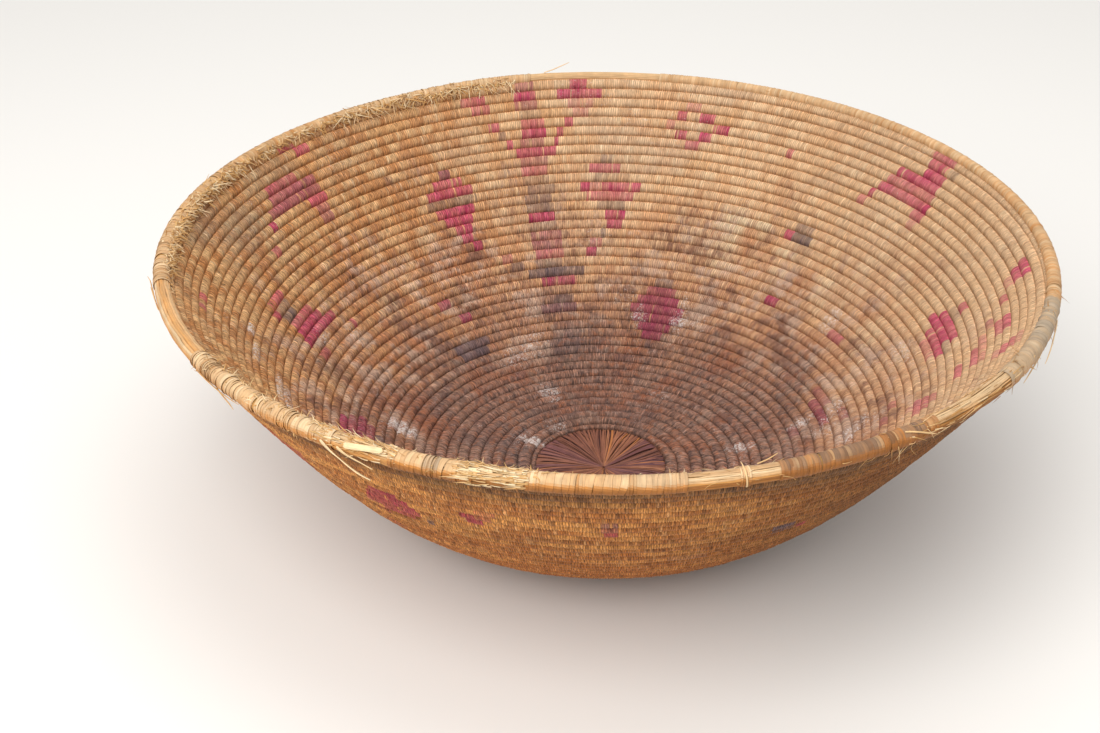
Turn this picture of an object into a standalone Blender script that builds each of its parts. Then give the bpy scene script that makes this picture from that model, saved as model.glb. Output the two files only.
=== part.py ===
"""A large coiled gathering basket.

One bundle of grass, wrapped and sewn with strip, runs round and round from a start of radiating straws
in the floor up to a thicker rim of pale straws. Lengths are in metres, +Z is up, and the origin is on the
surface that the basket stands on, under the middle of the bowl.
"""

import math

import bpy
import numpy as np

# The bowl, along the middle of its wall, from the edge of the start to the middle of the rim.
RIM_RADIUS = 0.330
BOWL_DEPTH = 0.2092
START_RADIUS = 0.0533
FLOOR_REACH = 0.1223
FLOOR_DIP = 0.0099
WALL_RUN = 0.1018
WALL_RISE = 0.1561

# The coil. Its first rows are coarser than the rest, and both its ends run out to a thin tip.
ROWS = 40
FLOOR_TURNS = 17
BELLY_TURNS = 12
TURN_POINTS = 24
TIP_POINTS = 4
FIRST_ROW_SHARE = 1.34
EASED_ROWS_SHARE = 0.11
ROW_GAP = 0.0006
ROW_THICKNESS_SHARE = 0.88
ROW_CREST_SHARE = 0.46
COIL_START_ANGLE = math.radians(300)
FOOT_CUT_SHARE = 0.1

# The straws of the start and the knot that holds them.
START_BUNCHES = 24
START_THICKNESS = 0.0028
KNOT_RADIUS = 0.005
KNOT_HEIGHT = 0.0056
KNOT_SEGMENTS = 16

# The rim: a bundle of straws, and the lengths of wrapping strip that are left on it.
RIM_POINTS = 48
RIM_BUNDLE_RADIUS = 0.0053
RIM_SPLICE_ANGLE = math.radians(110)
WRAP_THICKNESS = 0.0008
RIM_STRAW_RADIUS = 0.0009
STRIP_WIDTH = 0.0030
STRIP_THICKNESS = 0.0007
SEAT_GAP = 0.0003

# Where the wrapping is left: from and to, in 360ths of a turn round the rim from +X towards +Y.
WRAP_SHARES = (
    (-18.0, 14.0),
    (15.0, 47.0),
    (48.0, 79.0),
    (101.0, 133.0),
    (134.0, 168.0),
    (169.0, 193.0),
    (217.0, 238.5),
    (246.0, 253.5),
    (262.0, 277.0),
    (287.0, 299.5),
    (300.5, 305.5),
    (321.0, 328.5),
    (330.0, 340.5),
)

# The tie is one turn of strip on the open stretch after this wrap, from and to in shares of that stretch.
TIE_AFTER = 9
TIE_SHARES = (0.53, 0.67)

# Loose straws on the open stretches: from and to round the rim, and how far up round the bundle, in 360ths
# of a turn.
RIM_STRAW_SHARES = (
    (80.0, 100.0, 60.0),
    (81.0, 97.0, 120.0),
    (194.0, 216.0, 35.0),
    (195.0, 213.0, 80.0),
    (197.0, 215.5, 125.0),
    (254.5, 261.0, 60.0),
    (278.0, 281.5, 40.0),
    (284.5, 286.2, 80.0),
    (306.5, 320.0, 40.0),
    (307.5, 318.0, 95.0),
)

# The strip ends that have come away: 360ths of a turn round the rim, 360ths up round the bundle, and then
# how far off the skin that they lie on, in strip widths.
BROKEN_STRIP_SHARES = ((239.6, 62, 0), (241.5, 52, 0.05), (243.5, 40, 0.1), (245.2, 25, 0.25))
LONG_STRIP_SHARES = (
    (236.8, -10, 0),
    (237.6, -35, 0.3),
    (238.8, -60, 1.2),
    (240.2, -72, 2.6),
    (241.5, -80, 3.8),
    (242.6, -84, 4.6),
)
SHORT_STRIP_SHARES = ((237.9, -15, 0), (239.4, -38, 0.3), (241.2, -52, 0.9), (243.2, -58, 1.6))

LINE_SAMPLES = 1600
GAP_SAMPLES = 9
ROUND_RESOLUTION = 2
STRAW_RESOLUTION = 0
WELD_DISTANCE = 0.00001
FULL_TURN = 2 * math.pi


def wall_line():
    """The middle of the wall as (r, z, s): a cubic curve from the start's edge to the rim's middle.

    Its height is measured from the middle of the rim, and s is the length along it from the start.
    """
    start = np.array((START_RADIUS, -BOWL_DEPTH))
    rim = np.array((RIM_RADIUS, 0))
    floor_end = start + (FLOOR_REACH, -FLOOR_DIP)
    wall_end = rim - (WALL_RUN, WALL_RISE)
    t = np.linspace(0, 1, LINE_SAMPLES)[:, None]
    left = 1 - t
    line = left**3 * start + 3 * left**2 * t * floor_end + 3 * left * t**2 * wall_end + t**3 * rim
    steps = np.hypot(*np.diff(line, axis=0).T)
    return line[:, 0], line[:, 1], np.concatenate(([0], np.cumsum(steps)))


LINE_R, LINE_Z, LINE_S = wall_line()
WRAP_RADIUS = RIM_BUNDLE_RADIUS + SEAT_GAP + WRAP_THICKNESS
COIL_TOP = LINE_S[-1] - WRAP_RADIUS - SEAT_GAP + ROW_GAP / 2


def row_edge(turns):
    """How far along the wall line the lower edge of the coil is after so many turns."""
    rows = np.linspace(0, ROWS, LINE_SAMPLES)
    share = 1 + (FIRST_ROW_SHARE - 1) * np.exp(-rows / (ROWS * EASED_ROWS_SHARE))
    run = np.concatenate(([0], np.cumsum((share[1:] + share[:-1]) / 2)))
    return np.interp(np.clip(turns - 1, 0, ROWS), rows, run / run[-1] * COIL_TOP)


def coil_centres(turns):
    """The coil's middle after so many turns: (r, z, lean, width), lean being the wall's angle from upright."""
    low, high = row_edge(turns), row_edge(turns + 1)
    s = (low + high) / 2
    lean = np.arctan2(np.gradient(LINE_R, LINE_S), np.gradient(LINE_Z, LINE_S))
    r, z, lean = (np.interp(s, LINE_S, line) for line in (LINE_R, LINE_Z, lean))
    return r, z, lean, high - low - ROW_GAP


COIL_STEPS = np.arange(TIP_POINTS, (ROWS + 1) * TURN_POINTS - TIP_POINTS + 1)
COIL_R, COIL_Z, COIL_LEAN, COIL_WIDTH = coil_centres(COIL_STEPS / TURN_POINTS)


def section_corners():
    """The corners of the coil's section at each point: outer low, outer high, inner high, inner low."""
    across = np.array((-1, -1, 1, 1)) * ROW_THICKNESS_SHARE / 2
    along = np.array((-1, 1, ROW_CREST_SHARE, -ROW_CREST_SHARE)) / 2
    sin, cos = np.sin(COIL_LEAN)[:, None], np.cos(COIL_LEAN)[:, None]
    width = COIL_WIDTH[:, None]
    r = COIL_R[:, None] + width * (along * sin - across * cos)
    z = COIL_Z[:, None] + width * (along * cos + across * sin)
    return np.stack((r, z), axis=-1)


SECTIONS = section_corners()
ROW_WIDTH = float(COIL_WIDTH.max())
FOOT_CUT = FOOT_CUT_SHARE * ROW_THICKNESS_SHARE * ROW_WIDTH
RIM_HEIGHT = -float(SECTIONS[..., 1].min()) - FOOT_CUT
START_HEIGHT = RIM_HEIGHT - BOWL_DEPTH


def least_coil_gap():
    """The least gap between one turn and the next, between points spread over the faces that meet."""
    share = np.linspace(0, 1, GAP_SAMPLES)[:, None]
    upper = SECTIONS[:-TURN_POINTS, 1, None] * (1 - share) + SECTIONS[:-TURN_POINTS, 2, None] * share
    lower = SECTIONS[TURN_POINTS:, 0, None] * (1 - share) + SECTIONS[TURN_POINTS:, 3, None] * share
    return float(np.linalg.norm(upper[:, :, None] - lower[:, None], axis=-1).min())


def clear_scene():
    for obj in list(bpy.data.objects):
        bpy.data.objects.remove(obj)


def new_collection(name):
    collection = bpy.data.collections.new(name)
    bpy.context.scene.collection.children.link(collection)
    return collection


clear_scene()
BASKET = new_collection("gathering_basket")
CUTTERS = new_collection("cutters")


def material(name, colour, roughness):
    made = bpy.data.materials.new(name)
    made.use_nodes = True
    shader = made.node_tree.nodes["Principled BSDF"]
    shader.inputs["Base Color"].default_value = (*colour, 1)
    shader.inputs["Roughness"].default_value = roughness
    shader.inputs["Metallic"].default_value = 0
    return made


COIL_FLOOR_FINISH = material("stained_coil", (0.20, 0.095, 0.060), 0.75)
COIL_WALL_FINISH = material("tan_coil", (0.46, 0.26, 0.12), 0.7)
START_FINISH = material("dyed_straw", (0.17, 0.055, 0.035), 0.7)
RIM_FINISH = material("pale_straw", (0.75, 0.53, 0.28), 0.6)
WRAP_FINISH = material("pale_strip", (0.68, 0.45, 0.22), 0.6)


def add(name, data, finish, collection=BASKET):
    obj = bpy.data.objects.new(name, data)
    if finish:
        data.materials.append(finish)
    collection.objects.link(obj)
    return obj


def hide_helper(obj):
    obj.hide_render = True
    obj.display_type = "WIRE"
    return obj


def poly_curve(name, points):
    """A curve of one straight-sided spline through the points, kept upright so that it can be tilted."""
    curve = bpy.data.curves.new(name, "CURVE")
    curve.dimensions = "3D"
    curve.twist_mode = "Z_UP"
    curve.use_fill_caps = True
    spline = curve.splines.new("POLY")
    spline.points.add(len(points) - 1)
    spline.points.foreach_set("co", np.column_stack((points, np.ones(len(points)))).ravel())
    spline.use_smooth = True
    return curve


def outline_curve(name, points):
    """A flat closed outline, filled on both faces."""
    curve = bpy.data.curves.new(name, "CURVE")
    curve.dimensions = "2D"
    curve.fill_mode = "BOTH"
    spline = curve.splines.new("POLY")
    spline.points.add(len(points) - 1)
    for point, (x, y) in zip(spline.points, points):
        point.co = (x, y, 0, 1)
    spline.use_cyclic_u = True
    return curve


def row_section():
    """The unit section of a row: flat outside, with a narrower crest on the bowl's inner side."""
    half = ROW_THICKNESS_SHARE / 2
    crest = ROW_CREST_SHARE / 2
    curve = outline_curve("row_section", ((-half, -0.5), (-half, 0.5), (half, crest), (half, -crest)))
    curve.fill_mode = "NONE"
    return hide_helper(add("row_section", curve, None, CUTTERS))


ROW_SECTION = row_section()


def half_side(end, inner):
    """The place half way from an end point to its neighbour, and half of the seat's gap further."""
    side = inner - end
    return end + side * (0.5 + SEAT_GAP / 2 / float(np.linalg.norm(side)))


def coil_stretch(name, first, last, finish):
    """The coil between two steps, cut square in the middle of a straight side where it goes on."""
    keep = (COIL_STEPS >= first) & (COIL_STEPS <= last)
    turns = COIL_STEPS[keep] / TURN_POINTS
    r, z, lean, width = COIL_R[keep], COIL_Z[keep] + RIM_HEIGHT, COIL_LEAN[keep], COIL_WIDTH[keep]
    angle = COIL_START_ANGLE - FULL_TURN * turns
    points = np.column_stack((r * np.cos(angle), r * np.sin(angle), z))
    if first > COIL_STEPS[0]:
        points[0] = half_side(points[0], points[1])
    if last < COIL_STEPS[-1]:
        points[-1] = half_side(points[-1], points[-2])
    curve = poly_curve(name, points)
    curve.bevel_mode = "OBJECT"
    curve.bevel_object = ROW_SECTION
    spline = curve.splines[0]
    spline.points.foreach_set("radius", width)
    spline.points.foreach_set("tilt", -lean)
    return add(name, curve, finish)


def as_mesh(obj):
    """The curve object made a mesh object in its place, with its caps joined to its sides."""
    bpy.context.view_layer.update()
    evaluated = obj.evaluated_get(bpy.context.evaluated_depsgraph_get())
    mesh = bpy.data.meshes.new_from_object(evaluated)
    name, matrix, collection = obj.name, obj.matrix_world.copy(), obj.users_collection[0]
    bpy.data.objects.remove(obj)
    made = bpy.data.objects.new(name, mesh)
    made.matrix_world = matrix
    collection.objects.link(made)
    weld = made.modifiers.new("weld", "WELD")
    weld.merge_threshold = WELD_DISTANCE
    return made


def cut_foot(obj):
    """Cuts the coil flat where it stands."""
    reach = 2 * RIM_RADIUS
    bpy.ops.mesh.primitive_cube_add(size=reach, location=(0, 0, -reach / 2))
    cutter = hide_helper(bpy.context.active_object)
    cutter.name = "foot_cutter"
    for collection in cutter.users_collection:
        collection.objects.unlink(cutter)
    CUTTERS.objects.link(cutter)
    cut = obj.modifiers.new("foot", "BOOLEAN")
    cut.operation = "DIFFERENCE"
    cut.object = cutter


def make_coil():
    floor_end = FLOOR_TURNS * TURN_POINTS
    belly_end = floor_end + BELLY_TURNS * TURN_POINTS
    cut_foot(as_mesh(coil_stretch("coil_floor", COIL_STEPS[0], floor_end + 1, COIL_FLOOR_FINISH)))
    coil_stretch("coil_belly", floor_end, belly_end + 1, COIL_WALL_FINISH)
    coil_stretch("coil_wall", belly_end, COIL_STEPS[-1], COIL_WALL_FINISH)
    print(f"least gap between the coil's turns: {least_coil_gap() * 1000:.2f} mm")


def bunch_outline():
    """One bunch seen from above: a blunt wedge along +X from the knot, with half a gap on both its sides."""
    half = math.pi / START_BUNCHES
    slack = SEAT_GAP / 2 / math.cos(half)
    inner = KNOT_RADIUS + SEAT_GAP
    outer = START_RADIUS * math.cos(math.pi / TURN_POINTS) - SEAT_GAP
    sides = [(r * math.cos(half), r * math.sin(half) - slack) for r in (inner, outer)]
    return sides + [(outer, 0)] + [(x, -y) for x, y in reversed(sides)]


def make_start():
    """Bunches of straw that radiate from the knot and end against the first row of the coil."""
    for i in range(START_BUNCHES):
        name = f"start_straws_{i + 1:02d}"
        curve = outline_curve(name, bunch_outline())
        curve.extrude = START_THICKNESS / 2
        bunch = add(name, curve, START_FINISH)
        bunch.location.z = START_HEIGHT
        bunch.rotation_euler.z = FULL_TURN * i / START_BUNCHES
    rings = KNOT_SEGMENTS // 2
    bpy.ops.mesh.primitive_uv_sphere_add(segments=KNOT_SEGMENTS, ring_count=rings, radius=KNOT_RADIUS)
    knot = bpy.context.active_object
    knot.name = "start_knot"
    knot.location.z = START_HEIGHT
    knot.data.vertices.foreach_set("co", knot_shape(knot.data))
    knot.data.materials.append(START_FINISH)
    knot.data.shade_smooth()
    for collection in knot.users_collection:
        collection.objects.unlink(knot)
    BASKET.objects.link(knot)


def knot_shape(mesh):
    """The ball's points, pressed flat to the knot's height."""
    points = np.empty(len(mesh.vertices) * 3)
    mesh.vertices.foreach_get("co", points)
    points = points.reshape(-1, 3)
    points[:, 2] *= KNOT_HEIGHT / (2 * KNOT_RADIUS)
    return points.ravel()


RIM_STEP = FULL_TURN / RIM_POINTS


def on_rim(angles, out=0, up=0):
    """Points at these angles on the rim's straight sides, moved out and up from the middle of the bundle."""
    low = np.floor(angles / RIM_STEP) * RIM_STEP
    share = (angles - low) / RIM_STEP
    radius = RIM_RADIUS + out
    x = radius * (np.cos(low) * (1 - share) + np.cos(low + RIM_STEP) * share)
    y = radius * (np.sin(low) * (1 - share) + np.sin(low + RIM_STEP) * share)
    return np.column_stack((x, y, RIM_HEIGHT + up + np.zeros(len(x))))


def rim_path(start, end, out=0, up=0):
    """Points along the rim from one angle to another, with one at each of its corners between them."""
    corners = np.arange(math.floor(start / RIM_STEP) + 1, math.ceil(end / RIM_STEP)) * RIM_STEP
    return on_rim(np.concatenate(([start], corners, [end])), out, up)


def make_rim_bundle():
    seam = SEAT_GAP / 2 / RIM_RADIUS
    curve = poly_curve("rim_bundle", rim_path(RIM_SPLICE_ANGLE + seam, RIM_SPLICE_ANGLE + FULL_TURN - seam))
    curve.bevel_depth = RIM_BUNDLE_RADIUS
    curve.bevel_resolution = ROUND_RESOLUTION
    add("rim_bundle", curve, RIM_FINISH)


def make_wrap(name, span):
    """A sleeve of wrapping strip round the bundle, from and to in 360ths of a turn."""
    curve = poly_curve(name, rim_path(*np.radians(span)))
    curve.use_fill_caps = False
    curve.bevel_depth = WRAP_RADIUS
    curve.bevel_resolution = ROUND_RESOLUTION
    sleeve = add(name, curve, WRAP_FINISH)
    shell = sleeve.modifiers.new("thickness", "SOLIDIFY")
    shell.thickness = WRAP_THICKNESS
    shell.offset = -1
    shell.use_even_offset = True


def make_rim_straw(name, start, end, round_angle):
    """A loose straw along an open stretch of the bundle, resting on its skin."""
    stand = RIM_BUNDLE_RADIUS + SEAT_GAP + RIM_STRAW_RADIUS
    angle = math.radians(round_angle)
    path = rim_path(math.radians(start), math.radians(end), stand * math.cos(angle), stand * math.sin(angle))
    curve = poly_curve(name, path)
    curve.bevel_depth = RIM_STRAW_RADIUS
    curve.bevel_resolution = STRAW_RESOLUTION
    add(name, curve, RIM_FINISH)


def make_strip(name, shares, skin_radius):
    """A flat end of strip that has come away, flat to the skin that its first point lies on."""
    angle, round_angle, lift = np.array(shares).T
    round_angle = np.radians(round_angle)
    stand = skin_radius + SEAT_GAP + STRIP_THICKNESS / 2 + STRIP_WIDTH * lift
    path = on_rim(np.radians(angle), stand * np.cos(round_angle), stand * np.sin(round_angle))
    curve = poly_curve(name, path)
    curve.extrude = (STRIP_WIDTH - STRIP_THICKNESS) / 2
    curve.bevel_depth = STRIP_THICKNESS / 2
    curve.bevel_resolution = STRAW_RESOLUTION
    curve.splines[0].points.foreach_set("tilt", -round_angle)
    add(name, curve, WRAP_FINISH)


def make_rim():
    make_rim_bundle()
    for i, span in enumerate(WRAP_SHARES):
        make_wrap(f"rim_wrap_{i + 1:02d}", span)
    open_from, open_to = WRAP_SHARES[TIE_AFTER - 1][1], WRAP_SHARES[TIE_AFTER][0]
    make_wrap("rim_tie", [open_from + share * (open_to - open_from) for share in TIE_SHARES])
    for i, (start, end, round_angle) in enumerate(RIM_STRAW_SHARES):
        make_rim_straw(f"rim_straw_{i + 1:02d}", start, end, round_angle)
    make_strip("broken_strip", BROKEN_STRIP_SHARES, RIM_BUNDLE_RADIUS)
    make_strip("loose_strip_long", LONG_STRIP_SHARES, WRAP_RADIUS)
    make_strip("loose_strip_short", SHORT_STRIP_SHARES, WRAP_RADIUS)


make_coil()
make_start()
make_rim()
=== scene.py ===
"""The looks of a large coiled gathering basket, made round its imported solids.

Every surface is a grid of points worked out with numpy: the wrapped coil is one section carried along
its spiral with two points to a stitch, and straws, strips and frayed fibres are sections carried along
many short paths at once. Lengths are in metres, +Z is up, and angles run round the basket from +X to +Y.
"""

import math

import bpy
import numpy as np
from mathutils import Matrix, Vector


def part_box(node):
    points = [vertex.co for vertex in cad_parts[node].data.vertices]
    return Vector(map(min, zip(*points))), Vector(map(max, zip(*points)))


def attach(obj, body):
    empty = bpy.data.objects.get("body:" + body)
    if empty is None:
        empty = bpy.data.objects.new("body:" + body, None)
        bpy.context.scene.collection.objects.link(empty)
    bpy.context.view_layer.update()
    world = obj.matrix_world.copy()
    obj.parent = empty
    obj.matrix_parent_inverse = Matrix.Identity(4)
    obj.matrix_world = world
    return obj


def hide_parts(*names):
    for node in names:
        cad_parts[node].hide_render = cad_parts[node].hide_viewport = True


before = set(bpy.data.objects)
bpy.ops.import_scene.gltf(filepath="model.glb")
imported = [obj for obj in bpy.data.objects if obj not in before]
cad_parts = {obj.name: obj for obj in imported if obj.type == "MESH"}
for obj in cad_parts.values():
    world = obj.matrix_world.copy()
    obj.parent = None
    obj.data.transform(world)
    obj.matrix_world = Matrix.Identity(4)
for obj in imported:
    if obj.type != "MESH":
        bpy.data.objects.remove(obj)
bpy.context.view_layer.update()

FULL_TURN = 2 * math.pi
UP = np.array((0.0, 0.0, 1.0))

# The bowl and its coil, as in the solids.
RIM_RADIUS = 0.330
BOWL_DEPTH = 0.2092
START_RADIUS = 0.0533
FLOOR_REACH = 0.1223
FLOOR_DIP = 0.0099
WALL_RUN = 0.1018
WALL_RISE = 0.1561
ROWS = 40
FIRST_ROW_SHARE = 1.34
EASED_ROWS_SHARE = 0.11
COIL_START_ANGLE = math.radians(300)
FIRST_TURN = 0.1
LAST_TURN = ROWS + 0.98
WRAP_RADIUS = 0.0064
LINE_SAMPLES = 1600
RIM_HEIGHT = float(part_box("rim_bundle")[0][2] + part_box("rim_bundle")[1][2]) / 2
START_HEIGHT = RIM_HEIGHT - BOWL_DEPTH

# Each length of the coil: the turns where it starts and ends, and how many pieces its looks are cut into.
COIL_LENGTHS = {
    "coil_floor": (FIRST_TURN, 17, 6),
    "coil_belly": (17, 29, 9),
    "coil_wall": (29, LAST_TURN, 11),
}

# The sewing strip, finer at the start than up the wall.
STITCH_WIDTH = 0.00178
FIRST_STITCH_WIDTH = 0.00118
WIDENING_TURNS = (5, 24)
STITCH_SPREAD = 0.2
STITCH_RELIEF = 0.00028
STITCH_LEAN = 0.05

# How the rim differs round the basket: the angle in degrees, the wrapped bundle's radius and how far the
# last row carries it above its place in the solids, both in millimetres.
RIM_SHAPE = (
    (-60, 6, 2.6), (-50, 6.2, 1.5), (-40, 6.3, 0.2), (-27, 6, 0), (-15, 5, 1.5), (0, 4.5, 3),
    (20, 4.3, 4), (60, 4.3, 4.2), (100, 4.3, 4.2), (112, 4.6, 2.6), (122, 4.9, 0.5), (140, 5, 0),
    (160, 5.4, 0), (175, 6, 0), (200, 6.4, 0), (250, 6.4, 0), (262, 6.2, 0.4), (272, 6, 0.5),
    (280, 6, 1.2), (290, 6, 2.2), (300, 6, 2.6),
)
ROW_TUCK = 0.0012

# The camera, as the photograph was taken, and the studio.
CAMERA_PLACE = (-0.0417, -1.1415, 0.7782)
CAMERA_TILT = math.radians(59.24)
CAMERA_LENS = 54.72
SENSOR_WIDTH = 36
LAMPS = (
    ("key_lamp", (-0.72, -1.32, 1.6), 1.6, 31.0),
    ("top_lamp", (0.3, 0.2, 2.1), 1.8, 12.0),
)
SKY_LEVEL = 0.78
FLOOR_SIZE = 30
FLOOR_COLOUR = "E9E6E1"
FLOOR_ROUGHNESS = 0.9


def wall_line():
    """The middle of the wall as (r, z, s): a cubic curve from the start's edge to the rim's middle."""
    start = np.array((START_RADIUS, START_HEIGHT))
    rim = np.array((RIM_RADIUS, RIM_HEIGHT))
    floor_end = start + (FLOOR_REACH, -FLOOR_DIP)
    wall_end = rim - (WALL_RUN, WALL_RISE)
    t = np.linspace(0, 1, LINE_SAMPLES)[:, None]
    left = 1 - t
    line = left**3 * start + 3 * left**2 * t * floor_end + 3 * left * t**2 * wall_end + t**3 * rim
    steps = np.hypot(*np.diff(line, axis=0).T)
    return line[:, 0], line[:, 1], np.concatenate(([0], np.cumsum(steps)))


LINE_R, LINE_Z, LINE_S = wall_line()
LINE_LEAN = np.arctan2(np.gradient(LINE_R, LINE_S), np.gradient(LINE_Z, LINE_S))
COIL_TOP = LINE_S[-1] - WRAP_RADIUS


def smooth_table(degrees, values, angle):
    """Values at a few angles round the basket, joined by lines, rounded off and read at any angle."""
    fine = np.arange(-60, 300, 0.5)
    kernel = np.hanning(25) / np.hanning(25).sum()
    joined = np.interp(fine, degrees, values)
    rounded = np.convolve(np.tile(joined, 3), kernel, "same")[len(fine) : 2 * len(fine)]
    return np.interp(np.degrees(angle), fine, rounded, period=360)


def rim_shape(angle):
    """The wrapped rim's radius and its rise at angles round the basket, in metres."""
    degrees, radius, rise = np.array(RIM_SHAPE).T
    return smooth_table(degrees, radius, angle) / 1000, smooth_table(degrees, rise, angle) / 1000


def row_edge(turns):
    """How far along the wall line the lower edge of the coil is after so many turns."""
    rows = np.linspace(0, ROWS, LINE_SAMPLES)
    share = 1 + (FIRST_ROW_SHARE - 1) * np.exp(-rows / (ROWS * EASED_ROWS_SHARE))
    run = np.concatenate(([0], np.cumsum((share[1:] + share[:-1]) / 2)))
    return np.interp(np.clip(turns - 1, 0, ROWS), rows, run / run[-1] * COIL_TOP)


def ease(low, high, x):
    """0 below low and 1 above high, with a smooth cubic between them."""
    t = np.clip((x - low) / (high - low), 0, 1)
    return t * t * (3 - 2 * t)


def directions(angle):
    """The outward and the onward direction at angles round the basket."""
    cos, sin, level = np.cos(angle), np.sin(angle), 0 * angle
    return np.stack((cos, sin, level), axis=-1), np.stack((-sin, cos, level), axis=-1)


def coil_centres(turns):
    """The coil's middle after so many turns as (r, z, lean, width), with the wall's lean from upright."""
    _, rise = rim_shape(COIL_START_ANGLE - FULL_TURN * turns)
    low = row_edge(turns)
    high = row_edge(turns + 1) + (rise + ROW_TUCK) * ease(ROWS - 0.04, ROWS, turns)
    r, z, lean = (np.interp((low + high) / 2, LINE_S, line) for line in (LINE_R, LINE_Z, LINE_LEAN))
    return r, z, lean, high - low


def wave(x, seed, period):
    """A smooth random wave along x, within 1 either way: four sines, each smaller and faster."""
    rng = np.random.default_rng(seed)
    size = 0.62 ** np.arange(4)
    phase = rng.uniform(0, FULL_TURN, 4)
    pace = FULL_TURN / period * 1.83 ** np.arange(4)
    return sum(s * np.sin(x * p + f) for s, p, f in zip(size, pace, phase)) / size.sum()


def unit(vectors):
    """The vectors at a length of 1."""
    return vectors / np.linalg.norm(vectors, axis=-1, keepdims=True)


# Meshes from arrays.


def mesh_object(name, points, quads, caps, uvs, tones, finish):
    """A mesh object from arrays: quads, and caps of as many corners each as they have columns.

    uvs holds a pair for each corner of the quads. tones holds named colours, one row for each quad.
    """
    a, b, c, d = (points[quads[:, i]] for i in range(4))
    volume = np.einsum("ij,ij->", a, np.cross(b, c)) + np.einsum("ij,ij->", a, np.cross(c, d))
    if volume < 0:
        quads, uvs, caps = quads[:, ::-1], uvs[:, ::-1], caps[:, ::-1]
    mesh = bpy.data.meshes.new(name)
    mesh.vertices.add(len(points))
    above_floor = points * (1, 1, 0) + UP * np.maximum(points[:, 2:], 0.0)
    mesh.vertices.foreach_set("co", above_floor.astype(np.float32).ravel())
    corners = np.concatenate((quads.ravel(), caps.ravel())).astype(np.int32)
    mesh.loops.add(len(corners))
    mesh.loops.foreach_set("vertex_index", corners)
    faces = len(quads) + len(caps)
    mesh.polygons.add(faces)
    cap_starts = 4 * len(quads) + np.arange(len(caps)) * caps.shape[1]
    starts = np.concatenate((np.arange(len(quads)) * 4, cap_starts))
    mesh.polygons.foreach_set("loop_start", starts.astype(np.int32))
    mesh.polygons.foreach_set("use_smooth", np.ones(faces, bool))
    mesh.update(calc_edges=True)
    every = np.zeros((len(corners), 2), np.float32)
    every[: quads.size] = uvs.reshape(-1, 2)
    mesh.uv_layers.new(name="strip").uv.foreach_set("vector", every.ravel())
    for tone, values in tones.items():
        filled = np.zeros((faces, 4), np.float32)
        filled[: len(quads), : values.shape[1]] = values
        filled[len(quads) :, : values.shape[1]] = values[-1]
        mesh.attributes.new(tone, "FLOAT_COLOR", "FACE").data.foreach_set("color", filled.ravel())
    mesh.materials.append(finish)
    made = bpy.data.objects.new(name, mesh)
    bpy.context.scene.collection.objects.link(made)
    return made


def strand_faces(strands, count, m):
    """Quads and end caps of strands with m points round each of count sections, all numbered in order."""
    index = np.arange(strands * count * m).reshape(strands, count, m)
    turned = np.roll(index, -1, axis=2)
    quads = np.stack((index[:, :-1], turned[:, :-1], turned[:, 1:], index[:, 1:]), axis=-1).reshape(-1, 4)
    caps = np.concatenate((index[:, 0, ::-1], index[:, -1]))
    return quads, caps


def strand_map(along, around, around_next):
    """The strip map of such strands: u runs along each of them and v round its section."""
    u = np.broadcast_to(along[:, :, None], along.shape + around.shape)
    v, v_next = np.broadcast_to(around, u.shape), np.broadcast_to(around_next, u.shape)
    corner_u = np.stack((u[:, :-1], u[:, :-1], u[:, 1:], u[:, 1:]), axis=-1)
    corner_v = np.stack((v[:, :-1], v_next[:, :-1], v_next[:, 1:], v[:, 1:]), axis=-1)
    return np.stack((corner_u, corner_v), axis=-1).reshape(-1, 4, 2)


def axes_along(paths, normal):
    """Each strand's side, across its path and the normal, and its up, across its path and its side."""
    tangent = unit(np.gradient(paths, axis=1))
    side = unit(np.cross(normal, tangent))
    return side, np.cross(tangent, side)


def swept(name, centres, axes, widths, heights, section, finish, tone):
    """Many strands at once, each a closed section carried along its own path.

    centres and both axes are (strands, points, 3), widths and heights half sizes (strands, points), and
    section the unit outline as (side, up). A point is its centre plus side and up times the half sizes.
    The ends are closed by a flat cap. tone is a row for each strand, or for each step of each strand: how
    light, how grey and how honey-coloured it is, with age and, low on the rim, with painted shade.
    """
    sides, ups = axes
    strands, count = centres.shape[:2]
    m = len(section)
    x, y = np.array(section).T
    grid = (
        centres[:, :, None]
        + sides[:, :, None] * (widths[:, :, None] * x)[..., None]
        + ups[:, :, None] * (heights[:, :, None] * y)[..., None]
    )
    quads, caps = strand_faces(strands, count, m)
    steps = np.linalg.norm(np.diff(centres, axis=1), axis=-1)
    along = np.concatenate((np.zeros((strands, 1)), np.cumsum(steps, axis=1)), axis=1)
    uvs = strand_map(along + np.arange(strands)[:, None], np.arange(m) / m, np.arange(1, m + 1) / m)
    if tone.ndim == 2:
        tone = np.broadcast_to(tone[:, None], (strands, count - 1, tone.shape[-1]))
    tones = {"tone": np.repeat(tone.reshape(-1, tone.shape[-1]), m, axis=0)}
    return mesh_object(name, grid.reshape(-1, 3), quads, caps, uvs, tones, finish)


ROUND = [(math.cos(a), math.sin(a)) for a in np.arange(6) * FULL_TURN / 6]
FLAT = ((-1, 0), (-0.9, 0.9), (0.9, 0.9), (1, 0), (0.9, -0.9), (-0.9, -0.9))
LEAF = ((-1, 0), (0, 1), (1, 0), (0, -1))


def finish_piece(piece, slot, *nodes):
    """Ride the one body and stand for the named solids. slot is not used."""
    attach(piece, "root")
    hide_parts(*nodes)


# Materials. Colours are written as they look, as hex texts, and turned to linear light here.


def colour(text):
    """A hex colour as linear red, green and blue."""
    values = (int(text[i : i + 2], 16) / 255 for i in (0, 2, 4))
    return tuple(v / 12.92 if v <= 0.04045 else ((v + 0.055) / 1.055) ** 2.4 for v in values) + (1,)


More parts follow.
